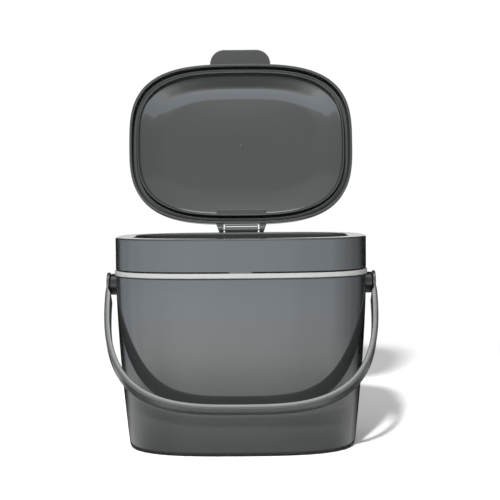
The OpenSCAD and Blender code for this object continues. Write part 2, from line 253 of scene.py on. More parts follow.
def turned_loop(name: str, section: Sequence[tuple[float, float]], y: float, z: float) -> bpy.types.Mesh:
    """Turned ring about an axis along X, from a closed section.

    Args:
        name: Name of the mesh.
        section: Points as (x, radius).
        y: Place of the axis.
        z: Height of the axis.

    Returns:
        The turned ring.
    """
    return skin(name, [turned_ring(x, r, y, z) for x, r in section], looped=True)


def level_ring(reach: np.ndarray, angles: np.ndarray, z: float, y: float = 0.0) -> np.ndarray:
    """Level ring of points from distances in some directions.

    Args:
        reach: Distances from the middle.
        angles: Directions in radians.
        z: Height.
        y: Place of the middle.

    Returns:
        Points of the ring.
    """
    return np.stack([reach * np.cos(angles), y + reach * np.sin(angles), np.full_like(reach, z)], axis=1)


def turned_ring(x: float, radius: float, y: float, z: float) -> np.ndarray:
    """Circle of points about an axis along X."""
    turn = np.linspace(0.0, 2 * math.pi, LATHE_POINTS, endpoint=False)
    return np.stack(
        [np.full_like(turn, x), y + radius * np.cos(turn), z + radius * np.sin(turn)], axis=1
    )


def quarter_turn(steps: int) -> np.ndarray:
    """Angles from 0 to a quarter turn."""
    return np.linspace(0.0, math.pi / 2, steps + 1)


def star_reach(
    polygons: Sequence[Sequence[tuple[float, float]]], radius: float, angles: np.ndarray
) -> np.ndarray:
    """Reach of a star-shaped side view from its axis, the widest of a circle and some polygons.

    Args:
        polygons: Polygons round the axis, in the view's two directions.
        radius: Radius of the circle round the axis.
        angles: Directions in radians.

    Returns:
        One distance for each direction.
    """
    reach = np.full(len(angles), radius)
    for polygon in polygons:
        for (ax, ay), (bx, by) in zip(polygon, list(polygon[1:]) + [polygon[0]]):
            for k, angle in enumerate(angles):
                dx, dy = math.cos(angle), math.sin(angle)
                ex, ey = bx - ax, by - ay
                cross = dx * ey - dy * ex
                if abs(cross) < TINY:
                    continue
                far = (ax * ey - ay * ex) / cross
                share = (ax * dy - ay * dx) / cross
                if far > 0 and -TINY <= share <= 1 + TINY:
                    reach[k] = max(reach[k], far)
    return reach


def softened(reach: np.ndarray, width: int, passes: int = 3) -> np.ndarray:
    """Rounds the corners of a polar outline without letting it grow.

    Args:
        reach: Distances in evenly spaced directions.
        width: Number of neighbours on each side that are averaged.
        passes: Number of times that the average is taken.

    Returns:
        The rounded distances, nowhere larger than before.
    """
    result = reach.copy()
    for _ in range(passes):
        total = sum(np.roll(result, shift) for shift in range(-width, width + 1))
        result = np.minimum(reach, total / (2 * width + 1))
    return result


# ---------------------------------------------------------------------------
# Shader node groups and finishes
# ---------------------------------------------------------------------------


class Graph:
    """Short hand for adding and joining the nodes of one tree."""

    def __init__(self, tree: bpy.types.NodeTree) -> None:
        """Keeps the tree and clears its nodes."""
        self.tree = tree
        tree.nodes.clear()

    def add(self, kind: str, **settings: object) -> bpy.types.Node:
        """Adds a node.

        Args:
            kind: Blender's name of the node type.
            **settings: Attributes of the node.

        Returns:
            The new node.
        """
        node = self.tree.nodes.new(kind)
        for key, value in settings.items():
            setattr(node, key, value)
        return node

    def join(self, source: bpy.types.NodeSocket, target: bpy.types.NodeSocket) -> None:
        """Links two sockets."""
        self.tree.links.new(source, target)

    def maths(
        self, operation: str, *values: float | bpy.types.NodeSocket, clamp: bool = False
    ) -> bpy.types.NodeSocket:
        """Adds a Math node.

        Args:
            operation: Blender's name of the operation.
            *values: Numbers or sockets for its inputs.
            clamp: Whether the result is held between 0 and 1.

        Returns:
            The node's output.
        """
        node = self.add("ShaderNodeMath", operation=operation, use_clamp=clamp)
        for socket, value in zip(node.inputs, values):
            if isinstance(value, bpy.types.NodeSocket):
                self.join(value, socket)
            else:
                socket.default_value = value
        return node.outputs[0]

    def blend(
        self,
        share: bpy.types.NodeSocket,
        first: Colour | bpy.types.NodeSocket,
        second: Colour | bpy.types.NodeSocket,
    ) -> bpy.types.NodeSocket:
        """Mixes two colours.

        Args:
            share: Socket with the share of the second colour.
            first: Colour or socket.
            second: Colour or socket.

        Returns:
            Socket of the mixed colour.
        """
        node = self.add("ShaderNodeMix", data_type="RGBA")
        self.join(share, node.inputs["Factor"])
        colour_in = [s for s in node.inputs if s.type == "RGBA"]
        for socket, value in zip(colour_in, (first, second)):
            if isinstance(value, bpy.types.NodeSocket):
                self.join(value, socket)
            else:
                socket.default_value = (*value, 1.0)
        return [s for s in node.outputs if s.type == "RGBA"][0]

    def multiply(self, first: bpy.types.NodeSocket, second: bpy.types.NodeSocket) -> bpy.types.NodeSocket:
        """Multiplies two colours.

        Args:
            first: Socket of a colour.
            second: Socket of a colour.

        Returns:
            Socket of the product.
        """
        node = self.add("ShaderNodeMix", data_type="RGBA", blend_type="MULTIPLY")
        node.inputs["Factor"].default_value = 1.0
        colour_in = [s for s in node.inputs if s.type == "RGBA"]
        self.join(first, colour_in[0])
        self.join(second, colour_in[1])
        return [s for s in node.outputs if s.type == "RGBA"][0]

    def step(self, value: bpy.types.NodeSocket, low: float, high: float) -> bpy.types.NodeSocket:
        """Smooth step of a value.

        Args:
            value: Socket of the value.
            low: Where the step leaves 0.
            high: Where the step reaches 1.

        Returns:
            Socket of the step.
        """
        node = self.add("ShaderNodeMapRange", interpolation_type="SMOOTHSTEP")
        node.inputs["From Min"].default_value = low
        node.inputs["From Max"].default_value = high
        self.join(value, node.inputs["Value"])
        return node.outputs[0]

    def mix(
        self, share: bpy.types.NodeSocket, first: bpy.types.NodeSocket, second: bpy.types.NodeSocket
    ) -> bpy.types.NodeSocket:
        """Mixes two shaders.

        Args:
            share: Socket with the share of the second shader.
            first: Socket of a shader.
            second: Socket of a shader.

        Returns:
            Socket of the mixed shader.
        """
        node = self.add("ShaderNodeMixShader")
        for source, target in zip((share, first, second), node.inputs):
            self.join(source, target)
        return node.outputs[0]

    def glow(
        self, kind: str, colour: Colour | bpy.types.NodeSocket, strength: float
    ) -> bpy.types.NodeSocket:
        """Adds a shader that has a colour and a strength.

        Args:
            kind: Blender's name of the shader node.
            colour: Colour or socket.
            strength: Its strength.

        Returns:
            Socket of the shader.
        """
        node = self.add(kind)
        node.inputs["Strength"].default_value = strength
        if isinstance(colour, bpy.types.NodeSocket):
            self.join(colour, node.inputs["Color"])
        else:
            node.inputs["Color"].default_value = (*colour, 1.0)
        return node.outputs[0]

    def paint(self, colour: Colour) -> bpy.types.NodeSocket:
        """Adds a matt shader of one colour."""
        node = self.add("ShaderNodeBsdfDiffuse")
        node.inputs["Color"].default_value = (*colour, 1.0)
        return node.outputs[0]

    def place(self) -> bpy.types.NodeSocket:
        """Adds the place on the object as a texture coordinate."""
        return self.add("ShaderNodeTexCoord").outputs["Object"]

    def ramp(
        self, value: bpy.types.NodeSocket, stops: Sequence[tuple[float, Colour]]
    ) -> bpy.types.NodeSocket:
        """Colour ramp over a value.

        Args:
            value: Socket between 0 and 1.
            stops: Places and colours in rising order.

        Returns:
            Socket of the colour.
        """
        node = self.add("ShaderNodeValToRGB")
        band = node.color_ramp
        band.interpolation = "EASE"
        while len(band.elements) < len(stops):
            band.elements.new(1.0)
        for element, (place, colour) in zip(band.elements, stops):
            element.position = place
            element.color = (*colour, 1.0)
        self.join(value, node.inputs[0])
        return node.outputs[0]


@dataclass(frozen=True)
class SocketPlan:
    """Name, type and default of one socket of a node group."""

    name: str
    kind: str
    default: object = None


class EffectGroup:
    """A shader node group that is built once and placed in many materials."""

    def __init__(
        self, name: str, inputs: Sequence[SocketPlan], outputs: Sequence[SocketPlan]
    ) -> None:
        """Makes the group's tree with its sockets.

        Args:
            name: Name of the group.
            inputs: Plans of its inputs.
            outputs: Plans of its outputs.
        """
        self.tree = bpy.data.node_groups.new(name, "ShaderNodeTree")
        for plan, way in [(p, "INPUT") for p in inputs] + [(p, "OUTPUT") for p in outputs]:
            socket = self.tree.interface.new_socket(
                name=plan.name, in_out=way, socket_type=plan.kind
            )
            if plan.default is not None:
                socket.default_value = plan.default
        self.graph = Graph(self.tree)
        self.source = self.graph.add("NodeGroupInput")
        self.sink = self.graph.add("NodeGroupOutput")

    def place(self, graph: Graph, **values: float) -> bpy.types.Node:
        """Places the group in a material.

        Args:
            graph: Graph of the material.
            **values: Values of its inputs by name.

        Returns:
            The group node.
        """
        node = graph.add("ShaderNodeGroup", node_tree=self.tree)
        for key, value in values.items():
            node.inputs[key].default_value = value
        return node


FLOAT = "NodeSocketFloat"
COLOUR = "NodeSocketColor"


class Effects:
    """The node groups that the finishes share, with the scales of their noises."""

    wave_scale: float = 16.0
    peel_scale: float = 260.0
    grain_scale: float = 2600.0
    wear_scale: float = 140.0
    wear_from: float = 0.52
    wear_gain: float = 9.0
    film_scale: float = 34.0
    scuff_scale: float = 900.0
    scuff_stretch: tuple[float, float, float] = (1.0, 1.0, 0.12)
    scuff_turn: tuple[float, float, float] = (0.5, 0.9, 0.3)
    scuff_from: float = 0.68
    scuff_gain: float = 8.0

    def __init__(self) -> None:
        """Builds each group once."""
        self.skin = self._mould_skin()
        self.tone = self._tone_drift()
        self.rub = self._edge_rub()
        self.film = self._handling_film()

    @staticmethod
    def _noise(
        graph: Graph, vector: bpy.types.NodeSocket, scale: float | bpy.types.NodeSocket, detail: float
    ) -> bpy.types.NodeSocket:
        """Adds noise over a vector.

        Args:
            graph: Graph to add it to.
            vector: Socket of the place.
            scale: Number or socket of its scale.
            detail: Octaves of the noise.

        Returns:
            Socket of the noise between 0 and 1.
        """
        node = graph.add("ShaderNodeTexNoise")
        graph.join(vector, node.inputs["Vector"])
        if isinstance(scale, bpy.types.NodeSocket):
            graph.join(scale, node.inputs["Scale"])
        else:
            node.inputs["Scale"].default_value = scale
        node.inputs["Detail"].default_value = detail
        return node.outputs[0]

    def _mould_skin(self) -> EffectGroup:
        """Height of a moulded skin: slow waves of the flow, orange peel and fine grain."""
        group = EffectGroup(
            "MouldedSkin",
            [
                SocketPlan("Wave", FLOAT, 0.4),
                SocketPlan("Peel", FLOAT, 0.1),
                SocketPlan("Grain", FLOAT, 0.02),
            ],
            [SocketPlan("Height", FLOAT)],
        )
        graph = group.graph
        place = graph.place()
        layers = []
        for name, scale, detail in (
            ("Wave", self.wave_scale, 0.0),
            ("Peel", self.peel_scale, 1.0),
            ("Grain", self.grain_scale, 2.0),
        ):
            noise = self._noise(graph, place, scale, detail)
            layers.append(graph.maths("MULTIPLY", noise, group.source.outputs[name]))
        wave, peel, grain = layers
        height = graph.maths("ADD", graph.maths("ADD", wave, peel), grain)
        graph.join(height, group.sink.inputs["Height"])
        return group

    def _tone_drift(self) -> EffectGroup:
        """Base colour that drifts slowly, as pigment does in moulded plastic."""
        group = EffectGroup(
            "ToneDrift",
            [
                SocketPlan("Base", COLOUR, (0.02, 0.02, 0.02, 1.0)),
                SocketPlan("Other", COLOUR, (0.025, 0.025, 0.025, 1.0)),
                SocketPlan("Scale", FLOAT, 22.0),
            ],
            [SocketPlan("Color", COLOUR)],
        )
        graph = group.graph
        share = self._noise(graph, graph.place(), group.source.outputs["Scale"], 3.0)
        graph.join(
            graph.blend(share, group.source.outputs["Base"], group.source.outputs["Other"]),
            group.sink.inputs["Color"],
        )
        return group

    def _edge_rub(self) -> EffectGroup:
        """Mask of edges that hands and cloths have rubbed, broken up by noise."""
        group = EffectGroup("EdgeRub", [SocketPlan("Amount", FLOAT, 0.3)], [SocketPlan("Mask", FLOAT)])
        graph = group.graph
        edge = graph.add("ShaderNodeNewGeometry").outputs["Pointiness"]
        over = graph.maths("SUBTRACT", edge, self.wear_from)
        raised = graph.maths("MULTIPLY", over, self.wear_gain, clamp=True)
        noise = self._noise(graph, graph.place(), self.wear_scale, 3.0)
        broken = graph.maths("MULTIPLY", raised, noise)
        mask = graph.maths("MULTIPLY", broken, group.source.outputs["Amount"], clamp=True)
        graph.join(mask, group.sink.inputs["Mask"])
        return group

    def _handling_film(self) -> EffectGroup:
        """Roughness that varies with wiping marks and faint scuffs."""
        group = EffectGroup(
            "HandlingFilm",
            [
                SocketPlan("Low", FLOAT, 0.1),
                SocketPlan("High", FLOAT, 0.18),
                SocketPlan("Scuffs", FLOAT, 0.05),
            ],
            [SocketPlan("Roughness", FLOAT)],
        )
        graph = group.graph
        place = graph.place()
        film = self._noise(graph, place, self.film_scale, 4.0)
        stretch = graph.add("ShaderNodeMapping")
        stretch.inputs["Scale"].default_value = self.scuff_stretch
        stretch.inputs["Rotation"].default_value = self.scuff_turn
        graph.join(place, stretch.inputs["Vector"])
        lines = self._noise(graph, stretch.outputs[0], self.scuff_scale, 2.0)
        over = graph.maths("SUBTRACT", lines, self.scuff_from)
        scuff = graph.maths("MULTIPLY", over, self.scuff_gain, clamp=True)
        spread = graph.maths("SUBTRACT", group.source.outputs["High"], group.source.outputs["Low"])
        level = graph.maths("ADD", group.source.outputs["Low"], graph.maths("MULTIPLY", spread, film))
        extra = graph.maths("MULTIPLY", scuff, group.source.outputs["Scuffs"])
        graph.join(graph.maths("ADD", level, extra, clamp=True), group.sink.inputs["Roughness"])
        return group


@dataclass(frozen=True)
class Surface:
    """A material with its graph and its shader."""

    material: bpy.types.Material
    graph: Graph
    shader: bpy.types.Node

    @classmethod
    def named(cls, name: str) -> "Surface":
        """Makes a material with a Principled shader.

        Args:
            name: Name of the material.

        Returns:
            The new surface.
        """
        material = bpy.data.materials.new(name)
        material.use_nodes = True
        graph = Graph(material.node_tree)
        shader = graph.add("ShaderNodeBsdfPrincipled")
        output = graph.add("ShaderNodeOutputMaterial")
        graph.join(shader.outputs[0], output.inputs[0])
        return cls(material, graph, shader)


@dataclass(frozen=True)
class MouldedFinish:
    """Moulded plastic or silicone: drifting colour, real gloss and a moulded skin."""

    name: str
    slot: str
    colour: Colour
    drift: Colour
    rubbed: Colour
    gloss: tuple[float, float]
    ior: float = 1.5
    wave: float = 0.4
    peel: float = 0.1
    grain: float = 0.02
    rub: float = 0.25
    relief: float = 0.00012

    def build(self, effects: Effects) -> bpy.types.Material:
        """Makes the material.

        Args:
            effects: The shared node groups.

        Returns:
            The material.
        """
        surface = Surface.named(self.name)
        graph, shader = surface.graph, surface.shader
        shader.inputs["IOR"].default_value = self.ior
        tone = effects.tone.place(graph)
        tone.inputs["Base"].default_value = (*self.colour, 1.0)
        tone.inputs["Other"].default_value = (*self.drift, 1.0)
        rub = effects.rub.place(graph, Amount=self.rub)
        colour = graph.blend(rub.outputs[0], tone.outputs[0], self.rubbed)
        graph.join(colour, shader.inputs["Base Color"])
        film = effects.film.place(graph, Low=self.gloss[0], High=self.gloss[1])
        graph.join(film.outputs[0], shader.inputs["Roughness"])
        skin_node = effects.skin.place(graph, Wave=self.wave, Peel=self.peel, Grain=self.grain)
        bump = graph.add("ShaderNodeBump")
        bump.inputs["Distance"].default_value = self.relief
        graph.join(skin_node.outputs[0], bump.inputs["Height"])
        graph.join(bump.outputs[0], shader.inputs["Normal"])
        return surface.material


@dataclass(frozen=True)
class DrawnSteelFinish:
    """Drawn stainless wire with fine lines along it."""

    name: str
    slot: str
    colour: Colour
    gloss: tuple[float, float]
    drift: float = 0.85
    scuffs: float = 0.2

    def build(self, effects: Effects) -> bpy.types.Material:
        """Makes the material.

        Args:
            effects: The shared node groups.

        Returns:
            The material.
        """
        surface = Surface.named(self.name)
        graph, shader = surface.graph, surface.shader
        shader.inputs["Metallic"].default_value = 1.0
        tone = effects.tone.place(graph)
        tone.inputs["Base"].default_value = (*self.colour, 1.0)
        tone.inputs["Other"].default_value = tuple(self.drift * c for c in self.colour) + (1.0,)
        graph.join(tone.outputs[0], shader.inputs["Base Color"])
        film = effects.film.place(graph, Low=self.gloss[0], High=self.gloss[1], Scuffs=self.scuffs)
        graph.join(film.outputs[0], shader.inputs["Roughness"])
        return surface.material


CHARCOAL = (0.021, 0.0225, 0.0225)
CHARCOAL_DRIFT = (0.024, 0.0255, 0.0262)
CHARCOAL_RUBBED = (0.06, 0.062, 0.062)

BUCKET_FINISH = MouldedFinish(
    "bucket_polished_charcoal", "bucket_plastic", CHARCOAL, CHARCOAL_DRIFT, CHARCOAL_RUBBED,
    (0.07, 0.1), ior=1.54,
)
COLLAR_FINISH = MouldedFinish(
    "collar_polished_charcoal", "collar_plastic", CHARCOAL, CHARCOAL_DRIFT, CHARCOAL_RUBBED,
    (0.08, 0.12), ior=1.54,
)
# A copy of the collar's charcoal for the hinge knuckle, darker and more reflective: it paints a brighter
# highlight on the barrel's top and deeper shade below.
KNUCKLE_FINISH = MouldedFinish(
    "knuckle_charcoal_painted_highlight", "collar_plastic", (0.014, 0.015, 0.015), CHARCOAL, CHARCOAL_RUBBED,
    (0.06, 0.1), ior=2.0,
)
LID_FINISH = MouldedFinish(
    "lid_polished_charcoal", "lid_plastic", CHARCOAL, CHARCOAL_DRIFT, CHARCOAL_RUBBED,
    (0.045, 0.075), ior=1.54, wave=3.0,
)
BAIL_FINISH = MouldedFinish(
    "bail_sheen_charcoal", "bail_plastic", (0.03, 0.032, 0.032), (0.034, 0.036, 0.036),
    (0.08, 0.082, 0.082), (0.2, 0.28), ior=1.54,
)
# The bushes are coloured much darker than the body: painted shade for the shadow between the bail's pads
# and the wall.
BUSH_FINISH = MouldedFinish(
    "bush_nylon_painted_shade", "bush_plastic", (0.006, 0.0062, 0.0065), (0.009, 0.0092, 0.0095),
    (0.03, 0.03, 0.03), (0.3, 0.42), ior=1.46, grain=0.08,
)
GASKET_FINISH = MouldedFinish(
    "gasket_light_silicone", "gasket_silicone", (0.25, 0.252, 0.25), (0.235, 0.237, 0.235),
    (0.3, 0.3, 0.3), (0.38, 0.5), ior=1.43, grain=0.06, rub=0.1,
)
PIN_FINISH = DrawnSteelFinish("pin_drawn_steel", "pin_steel", (0.58, 0.58, 0.59), (0.22, 0.34))


# ---------------------------------------------------------------------------
# Pieces
# ---------------------------------------------------------------------------


class Workshop:
    """Turns meshes into pieces that ride on the frame's bodies."""

    def __init__(self) -> None:
        """Builds the shared effects and one material for each finish."""
        self.effects = Effects()
        self.materials: dict[str, bpy.types.Material] = {}

    def material(self, finish: MouldedFinish | DrawnSteelFinish) -> bpy.types.Material:
        """Material of a finish, built on its first use.

        Args:
            finish: The finish.

        Returns:
            Its material.
        """
        if finish.name not in self.materials:
            self.materials[finish.name] = finish.build(self.effects)
        return self.materials[finish.name]

    def piece(
        self,
        mesh: bpy.types.Mesh,
        finish: MouldedFinish | DrawnSteelFinish,
        body: Body,
        replaces: Sequence[str] = (),
    ) -> bpy.types.Object:
        """Makes a piece from a mesh.

        Args:
            mesh: Mesh in metres, in the frame's place.
            finish: Its finish.
            body: Body that it rides on.
            replaces: Nodes of the frame that it stands for.

        Returns:
            The piece.
        """
        item = bpy.data.objects.new(mesh.name, mesh)
        bpy.context.scene.collection.objects.link(item)
        mesh.materials.clear()
        mesh.materials.append(self.material(finish))
        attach(item, body.value)
        if replaces:
            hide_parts(*replaces)
        LOG.info("%s: %d faces, rides on %s", item.name, len(mesh.polygons), body.value)
        return item


def bored(mesh: bpy.types.Mesh, cutters: Sequence[bpy.types.Mesh]) -> bpy.types.Mesh:
    """Cuts solids out of a mesh.

    Args:
        mesh: Mesh to cut.
        cutters: Meshes to take away.

    Returns:
        The cut mesh under the same name.
    """
    name = mesh.name
    scene = bpy.context.scene
    body = bpy.data.objects.new("cut_body", mesh)
    scene.collection.objects.link(body)
    tools = []
    for cutter in cutters:
        tool = bpy.data.objects.new("cut_tool", cutter)
        scene.collection.objects.link(tool)
        change = body.modifiers.new("cut", "BOOLEAN")
        change.operation = "DIFFERENCE"
        change.solver = "EXACT"
        change.object = tool
        tools.append(tool)
    bpy.context.view_layer.update()
    result = bpy.data.meshes.new_from_object(body.evaluated_get(bpy.context.evaluated_depsgraph_get()))
    for thing in [body, *tools]:
        bpy.data.objects.remove(thing)
    mesh.name = name + "_uncut"
    result.name = name
    tidy_mesh(result)
    return result


@dataclass(frozen=True)
class Stack:
    """Sizes that the parts share: the footprint and the heights of the stack."""

    half_w: float = 91.5
    half_d: float = 67.0
    power: float = 3.0
    bucket_h: float = 125.0
    seat_gap: float = 0.3
    bead_h: float = 3.5
    collar_h: float = 23.5
    lid_inset: float = 2.0
    hinge_inset: float = 4.2
    hinge_rise: float = 2.1
    pivot_z: float = 117.0
    angles: np.ndarray = field(init=False)

    def __post_init__(self) -> None:
        """Works out the directions that every ring of the outline uses."""
        angles = even_angles(self.half_w, self.half_d, self.power, RING_POINTS)
        object.__setattr__(self, "angles", angles)

    @property
    def bead_bottom(self) -> float:
        """Height of the gasket bead's lower face."""
        return self.bucket_h + self.seat_gap

    @property
    def bead_top(self) -> float:
        """Height of the gasket bead's upper face."""
        return self.bead_bottom + self.bead_h

    @property
    def collar_bottom(self) -> float:
        """Height of the collar's lower edge."""
        return self.bead_top + self.seat_gap

    @property
    def collar_top(self) -> float:
        """Height of the collar's flange."""
        return self.collar_bottom + self.collar_h

    @property
    def lid_rim(self) -> float:
        """Height of the closed lid's rim."""
        return self.collar_top + self.seat_gap

    @property
    def hinge_y(self) -> float:
        """Place of the hinge axis."""
        return self.half_d - self.lid_inset + self.hinge_inset

    @property
    def hinge_z(self) -> float:
        """Height of the hinge axis."""
        return self.collar_top + self.hinge_rise

    def ring(self, half_x: float, half_y: float, z: float, power: float) -> np.ndarray:
        """Closed outline at a height.

        Args:
            half_x: Half width.
            half_y: Half depth.
            z: Height.
            power: Squareness.

        Returns:
            Points of the outline.
        """
        reach = superellipse_reach(half_x, half_y, power, self.angles)
        return level_ring(reach, self.angles, z)

    def edge_y(self, x: float) -> float:
        """Depth of the mouth's outline at a place across, from the middle to the back."""
        return self.half_d * (1 - (abs(x) / self.half_w) ** self.power) ** (1 / self.power)

    def inset_ring(self, inset: float, z: float) -> np.ndarray:
        """Outline of the mouth drawn in by an inset."""
        return self.ring(self.half_w - inset, self.half_d - inset, z, self.power)


@dataclass
class Bucket:
    """Moulded bucket with its foot ring, the lands of the pivots and the two bushes."""

    stack: Stack
    side_draft: float = 8.7
    front_draft: float = 7.5
    curve: float = 1.6
    wall: float = 2.2
    edge_r: float = 3.0
    cove_r: float = 9.0
    foot_w: float = 5.0
    foot_hollow: float = 1.2
    foot_slope: float = 1.2
    foot_band: float = 12.0
    floor_band: float = 8.0
    cove_band: float = 6.0
    rim_r: float = 0.6
    rim_band: float = 3.0
    wall_rings: int = 26
    bush_r: float = 7.8
    shank_r: float = 5.0
    bore_r: float = 5.01
    stub_bore_r: float = 3.07
    hole_start: float = 86.0
    hole_end: float = 95.0
    land_x: float = 91.7
    land_bite: float = 0.4
    bush_x: float = 96.6
    shank_x: float = 89.5
    bore_end_x: float = 90.7
    tip_r: float = 0.02

    def wall_ring(self, inset: float, z: float) -> np.ndarray:
        """Outline of the wall at a height, drawn in by an inset.

        Args:
            inset: Distance in from the outer face.
            z: Height above the worktop.

        Returns:
            Points of the outline.
        """
        left = (1 - min(1.0, max(0.0, z / self.stack.bucket_h))) ** self.curve
        return self.stack.ring(
            self.stack.half_w - self.side_draft * left - inset,
            self.stack.half_d - self.front_draft * left - inset,
            z,
            self.stack.power,
        )

    def shell_mesh(self) -> bpy.types.Mesh:
        """Mesh of the bucket with the two holes for the bushes."""
        top, floor = self.stack.bucket_h, self.foot_hollow + self.wall
        hollow = self.edge_r + self.foot_w
        foot = trace([
            Corner(hollow + self.floor_band, self.foot_hollow),
            Corner(hollow + self.foot_slope, self.foot_hollow, 0.5),
            Corner(hollow, 0.0, 0.4),
            Corner(0.0, 0.0, self.edge_r),
            Corner(0.0, self.foot_band),
        ], closed=False)
        heights = np.linspace(self.foot_band + 2.0, top - self.rim_band - 1.0, self.wall_rings)
        rim = trace([
            Corner(0.0, top - self.rim_band),
            Corner(0.0, top, self.rim_r),
            Corner(self.wall, top, self.rim_r),
            Corner(self.wall, top - self.rim_band),
        ], closed=False)
        cove = trace([
            Corner(self.wall, floor + self.cove_r + self.cove_band),
            Corner(self.wall, floor, self.cove_r),
            Corner(self.wall + self.cove_r + self.floor_band, floor),
        ], closed=False)
        outside = [(0.0, z) for z in heights]
        inside = [(self.wall, z) for z in heights[:2:-1]]
        section = foot + outside + rim + inside + cove
        mesh = skin("bucket_shell", [self.wall_ring(inset, z) for inset, z in section])
        cutters = []
        for side in (-1, 1):
            profile = [(side * self.hole_start, self.bore_r), (side * self.hole_end, self.bore_r)]
            cutters.append(lathe("bush_hole", profile, 0.0, self.stack.pivot_z))
        return bored(mesh, cutters)

    def land_mesh(self, name: str, side: int) -> bpy.types.Mesh:
        """Raised ring of the wall that a bush seats on.

        Args:
            name: Name of the mesh.
            side: 1 for the right and -1 for the left.

        Returns:
            The ring.
        """
        inner = self.stack.half_w - self.wall / 2 - self.land_bite
        section = trace([
            Corner(inner, self.bore_r),
            Corner(self.land_x, self.bore_r, 0.1),
            Corner(self.land_x, self.bush_r, 0.15),
            Corner(inner, self.bush_r),
        ], closed=True)
        return turned_loop(name, [(side * x, r) for x, r in section], 0.0, self.stack.pivot_z)

    def bush_mesh(self, name: str, side: int) -> bpy.types.Mesh:
        """Bush with its shank in the wall and a blind bore for the bail's stub.

        Args:
            name: Name of the mesh.
            side: 1 for the right and -1 for the left.

        Returns:
            The bush.
        """
        section = trace([
            Corner(self.shank_x, 0.0),
            Corner(self.shank_x, self.shank_r, 0.3),
            Corner(self.land_x, self.shank_r, 0.05),
            Corner(self.land_x, self.bush_r, 0.3),
            Corner(self.bush_x, self.bush_r, 0.7),
            Corner(self.bush_x, self.stub_bore_r, 0.25),
            Corner(self.bore_end_x, self.stub_bore_r, 0.2),
            Corner(self.bore_end_x, 0.0),
        ], closed=False)
        profile = [(side * x, max(r, self.tip_r)) for x, r in section]
        return lathe(name, profile, 0.0, self.stack.pivot_z)

    def build(self, shop: Workshop) -> None:
        """Builds the bucket and its bushes."""
        shop.piece(self.shell_mesh(), BUCKET_FINISH, Body.BUCKET, ["bucket"])
        for side, word in ((-1, "left"), (1, "right")):
            shop.piece(self.land_mesh(f"bucket_land_{word}", side), BUCKET_FINISH, Body.BUCKET)
            bush = self.bush_mesh(f"bush_{word}", side)
            shop.piece(bush, BUSH_FINISH, Body.BUCKET, [f"pivot_bush_{word}"])


@dataclass
class Gasket:
    """Silicone ring between the bucket and the collar, with a bead outside and a lip inside."""

    stack: Stack
    proud: float = 0.8
    bead_r: float = 0.8
    seal_depth: float = 7.0
    inner: float = 4.19
    seal: float = 2.89

    def build(self, shop: Workshop) -> None:
        """Builds the gasket."""
        low, high = self.stack.bead_bottom, self.stack.bead_top
        tip = self.stack.bucket_h - self.seal_depth
        section = trace([
            Corner(self.seal, low, 0.3),
            Corner(-self.proud, low, self.bead_r),
            Corner(-self.proud, high, self.bead_r),
            Corner(self.inner, high, 0.2),
            Corner(self.inner, tip, 0.3),
            Corner(self.seal, tip, 0.5),
        ], closed=True)
        rings = [self.stack.inset_ring(inset, z) for inset, z in section]
        mesh = skin("gasket_ring", rings, looped=True)
        shop.piece(mesh, GASKET_FINISH, Body.COLLAR, ["rim_gasket"])


